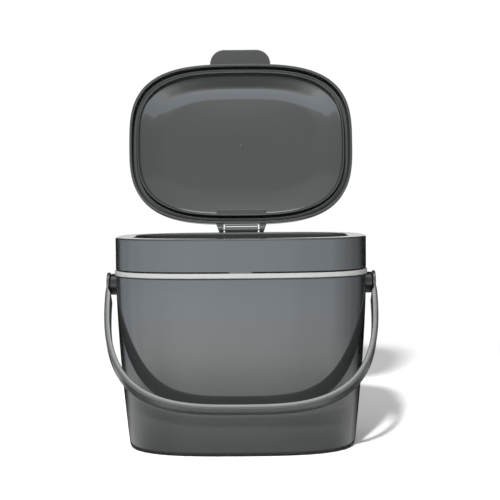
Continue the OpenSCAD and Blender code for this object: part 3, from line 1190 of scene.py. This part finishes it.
@dataclass
class Collar:
    """Collar frame with its flange, mouth lip and spigot, the knuckle of the hinge and the front nib."""

    stack: Stack
    flange_w: float = 12.3
    wall: float = 2.0
    edge_r: float = 1.2
    lip_h: float = 5.0
    spigot: float = 4.2
    spigot_tip: float = 112.0
    knuckle_r: float = 3.7
    knuckle_l: float = 26.2
    knuckle_bore: float = 1.32
    web_h: float = 10.0
    web_bite: float = 1.0
    web_proud: float = 0.25
    web_lean: float = math.radians(30)
    nib_w: float = 15.4
    nib_d: float = 1.1
    nib_drop: float = 0.2
    nib_run: float = 1.5
    nib_inset: float = 0.08
    nib_bite: float = 0.4
    gap_rise: float = 0.8

    def frame_mesh(self) -> bpy.types.Mesh:
        """Mesh of the collar's ring."""
        low, top = self.stack.collar_bottom, self.stack.collar_top
        under, inner = top - self.wall, self.spigot + self.wall
        lip, lip_inner = top - self.lip_h, self.flange_w - self.wall
        section = trace([
            Corner(0.0, low + self.gap_rise, 0.12),
            Corner(0.0, top, self.edge_r),
            Corner(self.flange_w, top, self.edge_r),
            Corner(self.flange_w, lip, 0.5),
            Corner(lip_inner, lip, 0.5),
            Corner(lip_inner, under, 0.6),
            Corner(inner, under, 0.8),
            Corner(inner, self.spigot_tip, 0.4),
            Corner(self.spigot, self.spigot_tip, 0.7),
            Corner(self.spigot, under, 0.6),
            Corner(self.wall, under, 0.6),
            Corner(self.wall, low, 0.2),
        ], closed=True)
        rings = [self.stack.inset_ring(inset, z) for inset, z in section]
        return skin("collar_frame", rings, looped=True)

    def knuckle_mesh(self) -> bpy.types.Mesh:
        """Mesh of the knuckle and its web, with the pin's bore."""
        turn = np.linspace(0.0, 2 * math.pi, 144, endpoint=False)
        back = self.stack.half_d - self.stack.hinge_y
        top = self.stack.collar_top - self.stack.hinge_z
        tip = (self.knuckle_r * math.cos(self.web_lean), -self.knuckle_r * math.sin(self.web_lean))
        web = [
            (back - self.web_bite, top - self.web_bite),
            (back - self.web_bite, top - self.web_h),
            (back - self.web_proud, top - self.web_h),
            tip,
            (0.0, 0.0),
        ]
        reach = softened(star_reach([web], self.knuckle_r, turn), 1)
        half = self.knuckle_l / 2
        return eyed_block(
            "collar_knuckle", reach, turn, self.knuckle_bore, self.stack, lambda y, z: (-half, half), 0.5
        )

    def nib_mesh(self) -> bpy.types.Mesh:
        """Shallow nib under the collar's front edge."""
        low, half = self.stack.collar_bottom, self.nib_w / 2
        top = low + self.gap_rise + self.nib_bite
        columns = []
        for x in np.linspace(-half, half, 25):
            front = self.nib_inset - self.stack.edge_y(x)
            back = front + self.nib_d
            ease = min(1.0, (half - abs(x)) / self.nib_run)
            drop = low - self.nib_drop * ease * ease * (3 - 2 * ease)
            columns.append(np.array([(x, front, top), (x, front, drop), (x, back, drop), (x, back, top)]))
        return skin("collar_nib", columns)

    def build(self, shop: Workshop) -> None:
        """Builds the collar."""
        shop.piece(self.frame_mesh(), COLLAR_FINISH, Body.COLLAR, ["collar"])
        shop.piece(self.knuckle_mesh(), KNUCKLE_FINISH, Body.COLLAR)
        shop.piece(self.nib_mesh(), COLLAR_FINISH, Body.COLLAR)


def eyed_block(
    name: str,
    reach: np.ndarray,
    turn: np.ndarray,
    bore: float,
    stack: Stack,
    span: Callable[[float, float], tuple[float, float]],
    edge: float,
    blind: float | None = None,
) -> bpy.types.Mesh:
    """Block along X round the hinge axis, with rounded side edges and a bore for the pin.

    Args:
        name: Name of the mesh.
        reach: Reach of its side view in each direction.
        turn: The directions.
        bore: Radius of the bore.
        stack: The shared sizes.
        span: Function from a place (y, z) in the side view to the block's two ends along X.
        edge: Radius of the side edges.
        blind: Where the bore stops along X; through where none is given.

    Returns:
        The block.
    """
    def ring(distance: np.ndarray, end: int, depth: float) -> np.ndarray:
        """Ring at a depth in from one of the ends."""
        y, z = distance * np.cos(turn), distance * np.sin(turn)
        places = np.array([span(a, b)[end] for a, b in zip(y, z)])
        x = places + (depth if end == 0 else -depth)
        return np.stack([x, stack.hinge_y + y, stack.hinge_z + z], axis=1)

    hole = np.full_like(turn, bore)
    faces = []
    for end in (0, 1):
        face = [ring(d, end, 0.0) for d in (hole, 0.5 * (hole + reach), reach - edge - HOLD)]
        face += [
            ring(reach - edge * (1 - math.sin(a)), end, edge * (1 - math.cos(a))) for a in quarter_turn(4)
        ]
        face.append(ring(reach, end, edge + HOLD))
        faces.append(face)
    low, high = faces
    if blind is None:
        return skin(name, low + high[::-1], looped=True)
    shaft_end = ring(hole, 0, 0.0)
    shaft_end[:, 0] = blind
    return skin(name, [shaft_end] + low + high[:0:-1])


@dataclass
class Lid:
    """Hollow lid with its groove, thin lip, thumb tab, ears and the hinge pin, drawn closed and opened."""

    stack: Stack
    power: float = 3.1
    edge_h: float = 10.0
    crown_h: float = 4.5
    edge_r: float = 3.0
    shell: float = 2.0
    skirt: float = 2.0
    groove_w: float = 4.4
    groove_h: float = 8.0
    groove_r: float = 1.55
    lip_t: float = 1.1
    lip_r: float = 0.45
    cove_w: float = 11.0
    lean: float = math.radians(23.5)
    bend_r: float = 3.0
    slope_w: float = 8.5
    slope_start: float = math.radians(8.0)
    slope_end: float = math.radians(18.0)
    gate_r: float = 1.5
    gate_h: float = 0.5
    tab_w: float = 48.8
    tab_l: float = 13.2
    tab_t: float = 2.4
    tab_corner: float = 11.5
    tab_root: float = 1.5
    tab_edge: float = 0.95
    boss_w: float = 39.4
    boss_d: float = 5.0
    boss_drop: float = 3.2
    boss_r: float = 0.6
    boss_power: float = 9.0
    open_angle: float = 98.3
    ear_inner: float = 14.3
    ear_outer: float = 20.1
    ear_tip: float = 2.1
    ear_r: float = 2.85
    heel_l: float = 4.8
    heel_t: float = 3.4
    pin_r: float = 1.25
    ear_bore: float = 1.26
    pin_left: float = -17.2
    pin_right: float = 18.0
    pin_edge: float = 0.25

    @property
    def half_w(self) -> float:
        """Half width of the lid."""
        return self.stack.half_w - self.stack.lid_inset

    @property
    def half_d(self) -> float:
        """Half depth of the lid."""
        return self.stack.half_d - self.stack.lid_inset

    @property
    def lip_outer(self) -> float:
        """Inset of the lip's outer face."""
        return self.skirt + self.groove_w

    @property
    def lip_inner(self) -> float:
        """Inset of the lip's inner face, where the hollow starts."""
        return self.lip_outer + self.lip_t

    def crown_z(self, share: float) -> float:
        """Height of the crown's top at a share of the way out from the middle."""
        return self.stack.lid_rim + self.edge_h + self.crown_h * (1 - share * share)

    def opened(self, mesh: bpy.types.Mesh) -> bpy.types.Mesh:
        """Turns a mesh from the closed place of the lid to the open one.

        Args:
            mesh: Mesh drawn on the closed lid.

        Returns:
            The same mesh, turned.
        """
        axis = Matrix.Translation((0.0, self.stack.hinge_y * MM, self.stack.hinge_z * MM))
        turn = Matrix.Rotation(-math.radians(self.open_angle), 4, "X")
        mesh.transform(axis @ turn @ axis.inverted())
        mesh.update()
        return mesh

    def shell_mesh(self) -> bpy.types.Mesh:
        """Mesh of the lid's shell with its groove and lip."""
        rim = self.stack.lid_rim
        floor, edge = rim + self.groove_h, rim + self.edge_h
        hollow = self.lip_inner + self.cove_w + self.slope_w
        top_a, top_b = self.half_w - self.edge_r, self.half_d - self.edge_r
        in_a, in_b = self.half_w - hollow, self.half_d - hollow
        shares = np.linspace(0.03, 0.985, 30)
        rings = []
        for s in shares:
            z = self.crown_z(in_a * s / top_a) - self.shell
            rings.append(self.stack.ring(in_a * s, in_b * s, z, self.power))
        cove = self.cove(in_a / top_a)
        section = cove[:-1] + trace([
            Corner(*cove[-2]),
            Corner(*cove[-1]),
            Corner(self.lip_inner, rim, self.lip_r),
            Corner(self.lip_outer, rim, self.lip_r),
            Corner(self.lip_outer, floor, self.groove_r),
            Corner(self.skirt, floor, self.groove_r),
            Corner(self.skirt, rim, 0.4),
            Corner(0.0, rim, 0.7),
            Corner(0.0, edge, self.edge_r),
            Corner(self.edge_r + 1.0, edge),
        ], closed=False)[1:-1]
        for inset, z in section:
            rings.append(self.stack.ring(self.half_w - inset, self.half_d - inset, z, self.power))
        for s in shares[::-1]:
            rings.append(self.stack.ring(top_a * s, top_b * s, self.crown_z(s), self.power))
        return self.opened(skin("lid_shell", rings))

    def cove(self, share: float) -> Section:
        """Section of the hollow from its dome to its wall: a slope, a steeper flank and a bend.

        Args:
            share: Share of the way out from the middle at which the dome ends.

        Returns:
            Points as insets and heights.
        """
        slope_steps, flank_steps, bend_steps = 14, 4, 8
        inset = self.lip_inner + self.cove_w + self.slope_w
        z = self.crown_z(share) - self.shell
        points = [(inset, z)]
        run = self.slope_w / slope_steps
        for step in range(slope_steps):
            part = (step + 0.5) / slope_steps
            lean = self.slope_start + (self.slope_end - self.slope_start) * part
            inset, z = inset - run, z - run * math.tan(lean)
            points.append((inset, z))
        run = (self.cove_w - self.bend_r * (1 - math.sin(self.lean))) / flank_steps
        for _ in range(flank_steps):
            inset, z = inset - run, z - run * math.tan(self.lean)
            points.append((inset, z))
        low = z - self.bend_r * math.cos(self.lean)
        for turn in np.linspace(self.lean, math.pi / 2, bend_steps + 1)[1:]:
            inset = self.lip_inner + self.bend_r * (1 - math.sin(turn))
            points.append((inset, low + self.bend_r * math.cos(turn)))
        return points

    def tab_outline(self) -> tuple[np.ndarray, np.ndarray]:
        """Outline of the thumb tab and its outward directions, from the lid's left side round the tip.

        Returns:
            Points (x, y) and unit vectors.
        """
        points: Section = []
        outward: Section = []
        half, square = self.tab_w / 2, self.tab_l - self.tab_corner

        def arc(cx: float, cy: float, radius: float, start: float, stop: float, sign: int) -> None:
            """Adds an arc; sign is -1 for a hollow one."""
            for angle in np.radians(np.linspace(start, stop, 15)):
                points.append((cx + radius * math.cos(angle), cy + radius * math.sin(angle)))
                outward.append((sign * math.cos(angle), sign * math.sin(angle)))

        points.append((-half - self.tab_root, 1.0))
        outward.append((0.0, -1.0))
        arc(-half - self.tab_root, -self.tab_root, self.tab_root, 90.0, 0.0, -1)
        arc(-half + self.tab_corner, -square, self.tab_corner, 180.0, 270.0, 1)
        arc(half - self.tab_corner, -square, self.tab_corner, 270.0, 360.0, 1)
        arc(half + self.tab_root, -self.tab_root, self.tab_root, 180.0, 90.0, -1)
        points.append((half + self.tab_root, 1.0))
        outward.append((0.0, -1.0))
        return np.array(points), np.array(outward)

    def tab_mesh(self) -> bpy.types.Mesh:
        """Mesh of the thumb tab with rounded edges."""
        outline, outward = self.tab_outline()
        middle = self.stack.lid_rim + self.edge_h - self.edge_r
        half, edge = self.tab_t / 2, self.tab_edge
        levels = [(edge + 0.6, -half)]
        for turn in quarter_turn(5):
            levels.append((edge * (1 - math.sin(turn)), -half + edge * (1 - math.cos(turn))))
        levels += [(inset, -z) for inset, z in levels[::-1]]
        rings = []
        for inset, z in levels:
            flat = outline - outward * inset
            flat[0], flat[-1] = outline[0] + (0.0, 0.5), outline[-1] + (0.0, 0.5)
            height = np.full(len(flat), middle + z)
            rings.append(np.column_stack([flat[:, 0], flat[:, 1] - self.half_d, height]))
        count = len(outline)
        points = [tuple(p) for ring in rings for p in ring]
        faces: list[tuple[int, ...]] = []
        for row in range(len(rings) - 1):
            this, following = row * count, (row + 1) * count
            for i in range(count):
                j = (i + 1) % count
                faces.append((this + i, this + j, following + j, following + i))
        faces.append(tuple(range(count)))
        faces.append(tuple(range((len(rings) - 1) * count, len(rings) * count)))
        return self.opened(finish_mesh("lid_tab", points, faces))

    def gate_mesh(self) -> bpy.types.Mesh:
        """Button that the moulding gate leaves in the middle of the hollow."""
        base, r, h = self.crown_z(0.0) - self.shell, self.gate_r, self.gate_h
        turn = np.linspace(0.0, 2 * math.pi, 48, endpoint=False)
        section = [
            (r, base + 0.6 * h),
            (r, base - 0.6 * h),
            (0.93 * r, base - 0.86 * h),
            (0.8 * r, base - h),
            (0.45 * r, base - h),
            (0.3 * r, base - 0.76 * h),
        ]
        rings = [level_ring(np.full_like(turn, reach), turn, z) for reach, z in section]
        return self.opened(skin("lid_gate_button", rings))

    def boss_mesh(self) -> bpy.types.Mesh:
        """Low block in the corner of the hollow that backs up the hinge."""
        half_x, half_y, round_r = self.boss_w / 2, self.boss_d / 2, self.boss_r
        angles = even_angles(half_x, half_y, self.boss_power, 200)
        middle = self.half_d - self.lip_inner + 0.4 - half_y
        face = self.stack.lid_rim + self.boss_drop
        section = [(0.0, face + 6.0), (0.0, face + round_r + HOLD)]
        for turn in quarter_turn(5):
            section.append((round_r * (1 - math.cos(turn)), face + round_r * (1 - math.sin(turn))))
        section += [(round_r + HOLD, face), (half_y - 0.2, face)]
        rings = []
        for inset, z in section:
            reach = superellipse_reach(half_x - inset, half_y - inset, self.boss_power, angles)
            rings.append(level_ring(reach, angles, z, middle))
        return self.opened(skin("lid_hinge_boss", rings))

    def ear_mesh(self, name: str, side: int) -> bpy.types.Mesh:
        """One ear of the lid: arm, eye and heel.

        Args:
            name: Name of the mesh.
            side: 1 for the right and -1 for the left.

        Returns:
            The ear.
        """
        stack = self.stack
        angle = -math.radians(self.open_angle)
        cos, sin = math.cos(angle), math.sin(angle)
        drop = stack.hinge_z - stack.lid_rim
        inner_y = -stack.hinge_inset - self.skirt / 2
        low = 0.5 - drop
        high = self.edge_h - drop - self.edge_r
        back_lean = math.radians(20)
        arm = [
            (inner_y, low),
            (-self.ear_r * math.cos(math.pi / 4), low),
            (0.0, 0.0),
            (self.ear_r * math.cos(back_lean), self.ear_r * math.sin(back_lean)),
            (0.0, high - 1.0),
            (inner_y, high),
        ]
        turned = [(y * cos - z * sin, y * sin + z * cos) for y, z in arm]
        tip_x = self.ear_inner + self.ear_tip
        near = stack.edge_y(tip_x) + stack.seat_gap - stack.hinge_y
        far = near + self.heel_t
        heel = [(near, -self.heel_l), (far, -self.heel_l), (far, 0.0), (near, 0.0)]
        turn = np.linspace(0.0, 2 * math.pi, 180, endpoint=False)
        reach = softened(star_reach([turned, heel], self.ear_r, turn), 2)

        def span(_: float, z: float) -> tuple[float, float]:
            """Two faces of the ear along X; the outer one draws in towards the heel."""
            below = self.heel_l + 1.0
            share = min(1.0, max(0.0, (z + below) / (stack.hinge_inset + below)))
            return self.ear_inner, tip_x + (self.ear_outer - tip_x) * share

        blind = None if side > 0 else -self.pin_left + 0.01
        mesh = eyed_block(name, reach, turn, self.ear_bore, stack, span, 0.35, blind)
        if side < 0:
            mesh.transform(Matrix.Scale(-1.0, 4, (1.0, 0.0, 0.0)))
            mesh.flip_normals()
        return mesh

    def pin_mesh(self) -> bpy.types.Mesh:
        """Hinge pin with chamfered ends."""
        half = []
        for end, way in ((self.pin_left, 1), (self.pin_right, -1)):
            half.append([
                (end, 0.3),
                (end, self.pin_r - self.pin_edge),
                (end + way * self.pin_edge, self.pin_r),
                (end + way * 2 * self.pin_edge, self.pin_r),
            ])
        section = half[0] + half[1][::-1]
        return lathe("hinge_pin_wire", section, self.stack.hinge_y, self.stack.hinge_z)

    def build(self, shop: Workshop) -> None:
        """Builds the lid and its pin."""
        shop.piece(self.shell_mesh(), LID_FINISH, Body.LID, ["lid"])
        shop.piece(self.tab_mesh(), LID_FINISH, Body.LID)
        shop.piece(self.gate_mesh(), LID_FINISH, Body.LID)
        shop.piece(self.boss_mesh(), LID_FINISH, Body.LID)
        shop.piece(self.ear_mesh("lid_ear_left", -1), LID_FINISH, Body.LID)
        shop.piece(self.ear_mesh("lid_ear_right", 1), LID_FINISH, Body.LID)
        shop.piece(self.pin_mesh(), PIN_FINISH, Body.LID, ["hinge_pin"])


@dataclass
class Bail:
    """Bail handle: a strap that flares into round pads, with a stub on each."""

    stack: Stack
    half_w: float = 99.7
    reach: float = 111.0
    power: float = 3.15
    hang_angle: float = 41.642
    strap_w: float = 9.0
    side_w: float = 13.5
    taper: float = 2.8
    strap_t: float = 4.2
    side_t: float = 4.4
    edge_r: float = 1.4
    crest_r: float = 0.8
    pad_r: float = 8.8
    pad_t: float = 2.2
    flare_start: float = 8.4
    flare_end: float = 13.4
    flare_drop: float = 1.2
    pad_inset: float = 0.5
    stub_r: float = 3.0
    stub_end: float = 91.0
    path_start: float = 1.0
    fine_until: float = 26.0
    fine_step: float = 0.7
    coarse_steps: int = 95

    @staticmethod
    def eased(value: float, start: float, stop: float) -> float:
        """Smooth step from 0 to 1 between two places."""
        share = min(1.0, max(0.0, (value - start) / (stop - start)))
        return share * share * (3 - 2 * share)

    def path(self) -> np.ndarray:
        """Places (u, v) down the bail's right side, round its bottom and up its left side."""
        fine = np.linspace(0.0, math.pi / 2, 6001)
        reach = superellipse_reach(self.half_w, self.reach, self.power, fine)
        curve = np.stack([reach * np.cos(fine), reach * np.sin(fine)], axis=1)
        steps = np.linalg.norm(np.diff(curve, axis=0), axis=1)
        travelled = np.concatenate([[0.0], np.cumsum(steps)])
        stops = np.concatenate([
            np.arange(self.path_start, self.fine_until, self.fine_step),
            np.linspace(self.fine_until, travelled[-1], self.coarse_steps),
        ])
        side = np.stack([np.interp(stops, travelled, curve[:, k]) for k in (0, 1)], axis=1)
        return np.concatenate([side, side[-2::-1] * (-1.0, 1.0)])

    def section(self, u: float, v: float) -> Section:
        """Rounded section of the strap at a place.

        Args:
            u: Sideways place of the outer face.
            v: Distance of the outer face below the pivots.

        Returns:
            Points as (depth below the outer face, place across).
        """
        outwards = abs(u) / self.half_w
        outer = self.flare_drop * (1 - self.eased(v, self.path_start, self.flare_end))
        full = self.strap_t + (self.side_t - self.strap_t) * outwards ** 2
        flare = self.eased(v, self.flare_start - 1.0, self.flare_end)
        inner = self.pad_t + (full - self.pad_t) * flare
        half = (self.strap_w + (self.side_w - self.strap_w) * outwards ** self.taper) / 2
        points = []
        for cx, cy in ((1, 1), (-1, 1), (-1, -1), (1, -1)):
            corner = self.crest_r if (cx, cy) == (1, -1) else self.edge_r
            radius = min(corner, (inner - outer) / 2 - 0.05)
            for k in range(7):
                turn = math.radians(15 * k if cx * cy > 0 else 90 - 15 * k)
                start = inner - radius if cx > 0 else outer + radius
                across = cy * (half - radius + radius * math.sin(turn))
                points.append((start + cx * radius * math.cos(turn), across))
        return points

    def placed(self, rings: Sequence[np.ndarray]) -> list[np.ndarray]:
        """Swings rings from hanging straight down to the rest angle, and lifts them to the pivots."""
        angle = -math.radians(self.hang_angle)
        cos, sin = math.cos(angle), math.sin(angle)
        swung = []
        for ring in rings:
            x, y, z = ring.T
            lifted = self.stack.pivot_z + y * sin + z * cos
            swung.append(np.stack([x, y * cos - z * sin, lifted], axis=1))
        return swung

    def strap_mesh(self) -> bpy.types.Mesh:
        """Mesh of the strap."""
        rings = []
        power = self.power - 1
        for u, v in self.path():
            gu = math.copysign((abs(u) / self.half_w) ** power / self.half_w, u)
            gv = (v / self.reach) ** power / self.reach
            length = math.hypot(gu, gv)
            nu, nv = gu / length, gv / length
            section = self.section(u, v)
            rings.append(np.array([(u - nu * depth, across, nv * depth - v) for depth, across in section]))
        return skin("bail_strap", self.placed(rings))

    def pad_mesh(self, name: str, side: int) -> bpy.types.Mesh:
        """Round pad with its stub.

        Args:
            name: Name of the mesh.
            side: 1 for the right and -1 for the left.

        Returns:
            The pad.
        """
        outer = self.half_w - self.pad_inset
        inner = outer - self.pad_t
        section = trace([
            Corner(outer, 0.3),
            Corner(outer, self.pad_r, 0.6),
            Corner(inner, self.pad_r, 0.5),
            Corner(inner, self.stub_r, 0.2),
            Corner(self.stub_end, self.stub_r, 0.4),
            Corner(self.stub_end, 0.3),
        ], closed=False)
        return lathe(name, [(side * x, r) for x, r in section], 0.0, self.stack.pivot_z)

    def build(self, shop: Workshop) -> None:
        """Builds the bail."""
        shop.piece(self.strap_mesh(), BAIL_FINISH, Body.BAIL, ["bail_handle"])
        shop.piece(self.pad_mesh("bail_pad_left", -1), BAIL_FINISH, Body.BAIL)
        shop.piece(self.pad_mesh("bail_pad_right", 1), BAIL_FINISH, Body.BAIL)


# ---------------------------------------------------------------------------
# Studio
# ---------------------------------------------------------------------------


def grey(value: float, cool: float = 0.0) -> Colour:
    """Grey with a share of blue."""
    return (value * (1 - cool), value, value * (1 + cool))


def at_height(degrees: float) -> float:
    """Place on a ramp of a height in degrees above the horizon."""
    return degrees / 180 + 0.5


def at_turn(degrees: float) -> float:
    """Place on a ramp of a turn in degrees to the right of the front."""
    return degrees / 360 + 0.5


@dataclass(frozen=True)
class Surroundings:
    """What the polished plastic mirrors: a bright front over a dark floor edge, and flags at the sides.

    The stops go from low to high. Those of the heights hold degrees above the horizon, a grey and a
    share of blue. Those of the two sweeps hold degrees to the right of the front and a grey.
    """

    heights: tuple[tuple[float, float, float], ...] = (
        (-75, 0.26, 0.0), (-60, 0.26, 0.0), (-48, 0.1, 0.0), (-30, 0.04, 0.0), (-26, 0.06, 0.0),
        (-23, 0.19, 0.0), (-18, 0.5, 0.0), (-14, 0.84, 0.0), (-10, 0.88, 0.08), (-4, 0.78, 0.09),
        (4.6, 0.72, 0.08), (5.8, 0.4, 0.02), (9, 0.36, 0.01), (12, 0.3, 0.0), (18, 0.26, 0.0),
        (27, 0.27, 0.0), (33, 0.33, 0.0), (58, 0.35, 0.0), (68, 0.45, 0.0), (76, 0.5, 0.0),
    )
    upper_sweep: tuple[tuple[float, float], ...] = (
        (-180, 0.06), (-167, 0.0), (-144, 0.0), (-136, 0.04), (-128, 0.22), (-110, 0.4), (-85, 0.7),
        (-55, 0.9), (-15, 1.02), (12, 0.93), (22, 0.84), (50, 0.82), (70, 0.56), (85, 0.37),
        (105, 0.2), (125, 0.07), (134, 0.0), (167, 0.0), (180, 0.06),
    )
    lower_sweep: tuple[tuple[float, float], ...] = (
        (-180, 0.4), (-150, 0.45), (-90, 0.72), (-45, 0.78), (-20, 1.0), (40, 0.84), (90, 0.72),
        (125, 0.55), (145, 0.25), (165, 0.12), (180, 0.4),
    )
    upper_from: tuple[float, float] = (-19, -11)
    sweeps_from: tuple[float, float] = (-62, -48)
    backdrop: float = 0.25
    backdrop_depth: tuple[float, float] = (0.968, 0.984)
    backdrop_height: tuple[float, float] = (0.5, 3)
    softbox: float = 2.0
    softbox_aim: tuple[float, float] = (-0.19, 0.982)
    softbox_edge: tuple[float, float] = (0.975, 0.99)

    def colour(self, graph: Graph) -> bpy.types.NodeSocket:
        """Colour of the surroundings in each direction.

        Args:
            graph: Graph of the world.

        Returns:
            Socket of the colour.
        """
        direction = graph.add("ShaderNodeSeparateXYZ")
        graph.join(graph.add("ShaderNodeTexCoord").outputs["Generated"], direction.inputs[0])
        x, y, z = direction.outputs
        turn = graph.maths("ARCTAN2", x, graph.maths("MULTIPLY", y, -1.0))
        around = graph.maths("MULTIPLY_ADD", turn, 1 / (2 * math.pi), 0.5)
        height = graph.maths("MULTIPLY_ADD", graph.maths("ARCSINE", z), 1 / math.pi, 0.5)
        rise = graph.ramp(height, [(at_height(place), grey(*tone)) for place, *tone in self.heights])
        upper = graph.ramp(around, [(at_turn(place), grey(tone)) for place, tone in self.upper_sweep])
        lower = graph.ramp(around, [(at_turn(place), grey(tone)) for place, tone in self.lower_sweep])
        tier = graph.step(height, *map(at_height, self.upper_from))
        below = graph.step(height, *map(at_height, self.sweeps_from))
        sweep = graph.blend(below, grey(1.0), graph.blend(tier, lower, upper))
        behind = graph.step(y, *self.backdrop_depth)
        above = graph.step(height, *map(at_height, self.backdrop_height))
        wall = graph.maths("MULTIPLY", behind, above)
        seen = graph.blend(wall, graph.multiply(rise, sweep), grey(self.backdrop))
        front, up = self.softbox_aim
        toward = graph.maths("MULTIPLY_ADD", y, front, graph.maths("MULTIPLY", z, up))
        return graph.blend(graph.step(toward, *self.softbox_edge), seen, grey(self.softbox))


@dataclass
class Studio:
    """Pale floor, soft light and the camera at the photograph's viewing angle."""

    camera_place: tuple[float, float, float] = (6.68, -888.2, 187.0)
    pitch: float = 0.0511
    roll: float = 0.0088
    lens: float = 86.4
    sensor: float = 36.0
    clip: tuple[float, float] = (0.01, 50.0)
    key_place: tuple[float, float, float] = (-200.0, -1050.0, 1030.0)
    key_aim: tuple[float, float, float] = (0.0, 0.0, 120.0)
    key_size: float = 120.0
    key_power: float = 36.0
    floor_half: float = 4000.0
    floor_grey: float = 0.88
    floor_glow: float = 1.05
    floor_fade: tuple[float, float] = (500.0, 720.0)
    # Painted contact shadow: a dark patch under the foot that only reflections see.
    contact_half: tuple[float, float] = (88.0, 65.0)
    contact_z: float = 0.2
    contact_shadow_grey: float = 0.01
    dome: float = 0.6
    gloss_strength: float = 4.15
    white: float = 1.02
    surroundings: Surroundings = field(default_factory=Surroundings)

    @staticmethod
    def laid(
        name: str, points: Sequence[Sequence[float]], finish: str
    ) -> tuple[bpy.types.Object, Graph, bpy.types.NodeSocket]:
        """Lays one flat face of the stage and starts its material.

        Args:
            name: Name of the face.
            points: Its corners in millimetres.
            finish: Name of its material.

        Returns:
            The object, the graph of its material and the socket for its surface.
        """
        mesh = bpy.data.meshes.new(name)
        corners = [(x * MM, y * MM, z * MM) for x, y, z in points]
        mesh.from_pydata(corners, [], [tuple(range(len(corners)))])
        item = bpy.data.objects.new(name, mesh)
        bpy.context.scene.collection.objects.link(item)
        material = bpy.data.materials.new(finish)
        material.use_nodes = True
        mesh.materials.append(material)
        graph = Graph(material.node_tree)
        return item, graph, graph.add("ShaderNodeOutputMaterial").inputs[0]

    def camera(self) -> None:
        """Makes the camera and sets it as the scene's."""
        data = bpy.data.cameras.new("view")
        data.lens, data.sensor_width = self.lens, self.sensor
        data.clip_start, data.clip_end = self.clip
        item = bpy.data.objects.new("view", data)
        bpy.context.scene.collection.objects.link(item)
        forward = Vector((0.0, math.cos(self.pitch), -math.sin(self.pitch)))
        level_up = Vector((0.0, math.sin(self.pitch), math.cos(self.pitch)))
        side = Vector((1.0, 0.0, 0.0))
        right = side * math.cos(self.roll) - level_up * math.sin(self.roll)
        up = level_up * math.cos(self.roll) + side * math.sin(self.roll)
        turn = Matrix((right, up, -forward)).transposed().to_4x4()
        item.matrix_world = Matrix.Translation(Vector(self.camera_place) * MM) @ turn
        bpy.context.scene.camera = item

    def floor(self) -> None:
        """Makes the pale floor, which fades to plain white far from the caddy."""
        half = self.floor_half
        corners = [(-half, -half, 0.0), (half, -half, 0.0), (half, half, 0.0), (-half, half, 0.0)]
        item, graph, surface = self.laid("floor", corners, "pale_floor")
        reach = graph.add("ShaderNodeVectorMath", operation="LENGTH")
        graph.join(graph.place(), reach.inputs[0])
        fade = graph.step(reach.outputs["Value"], *(edge * MM for edge in self.floor_fade))
        paint = graph.paint(grey(self.floor_grey))
        glow = graph.glow("ShaderNodeEmission", grey(1.0), self.floor_glow)
        graph.join(graph.mix(fade, paint, glow), surface)
        item.visible_glossy = False

    def contact(self) -> None:
        """Makes a dark patch of painted contact shadow where the foot meets the floor; only reflections
        see it, so the foot's edge mirrors shade there.
        """
        power = 3.0
        angles = even_angles(*self.contact_half, power, 120)
        reach = superellipse_reach(*self.contact_half, power, angles)
        points = level_ring(reach, angles, self.contact_z)
        item, graph, surface = self.laid("contact_shade", points, "contact_painted_shadow")
        graph.join(graph.paint(grey(self.contact_shadow_grey)), surface)
        item.visible_camera = item.visible_diffuse = False
        item.visible_shadow = item.visible_transmission = False

    def world(self) -> None:
        """Makes the world: white to the camera, a soft dome as light, the surroundings in reflections."""
        world = bpy.data.worlds.new("studio")
        bpy.context.scene.world = world
        world.use_nodes = True
        graph = Graph(world.node_tree)
        kind = "ShaderNodeBackground"
        gloss = graph.glow(kind, self.surroundings.colour(graph), self.gloss_strength)
        dome = graph.glow(kind, grey(1.0), self.dome)
        white = graph.glow(kind, grey(1.0), self.white)
        path = graph.add("ShaderNodeLightPath")
        lit = graph.mix(path.outputs["Is Glossy Ray"], dome, gloss)
        seen = graph.mix(path.outputs["Is Camera Ray"], lit, white)
        graph.join(seen, graph.add("ShaderNodeOutputWorld").inputs[0])

    def key(self) -> None:
        """Makes the key light, in front, above and to the left."""
        data = bpy.data.lights.new("key", "AREA")
        data.shape, data.size, data.energy = "DISK", self.key_size * MM, self.key_power
        item = bpy.data.objects.new("key", data)
        bpy.context.scene.collection.objects.link(item)
        place = Vector(self.key_place) * MM
        aim = Vector(self.key_aim) * MM - place
        turn = aim.to_track_quat("-Z", "Y").to_matrix().to_4x4()
        item.matrix_world = Matrix.Translation(place) @ turn
        item.visible_glossy = False

    def build(self) -> None:
        """Builds the studio."""
        self.camera()
        self.floor()
        self.contact()
        self.world()
        self.key()
        settings = bpy.context.scene.view_settings
        settings.view_transform, settings.look = "Standard", "None"
        LOG.info("studio: camera, floor, surroundings and key light")


def main() -> None:
    """Builds every sub-assembly in order, then the studio."""
    logging.basicConfig(level=logging.INFO, format="%(name)s: %(message)s")
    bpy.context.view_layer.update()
    shop = Workshop()
    stack = Stack()
    for part in (Bucket(stack), Gasket(stack), Collar(stack), Lid(stack), Bail(stack)):
        part.build(shop)
    Studio().build()


if __name__ == "__main__":
    main()
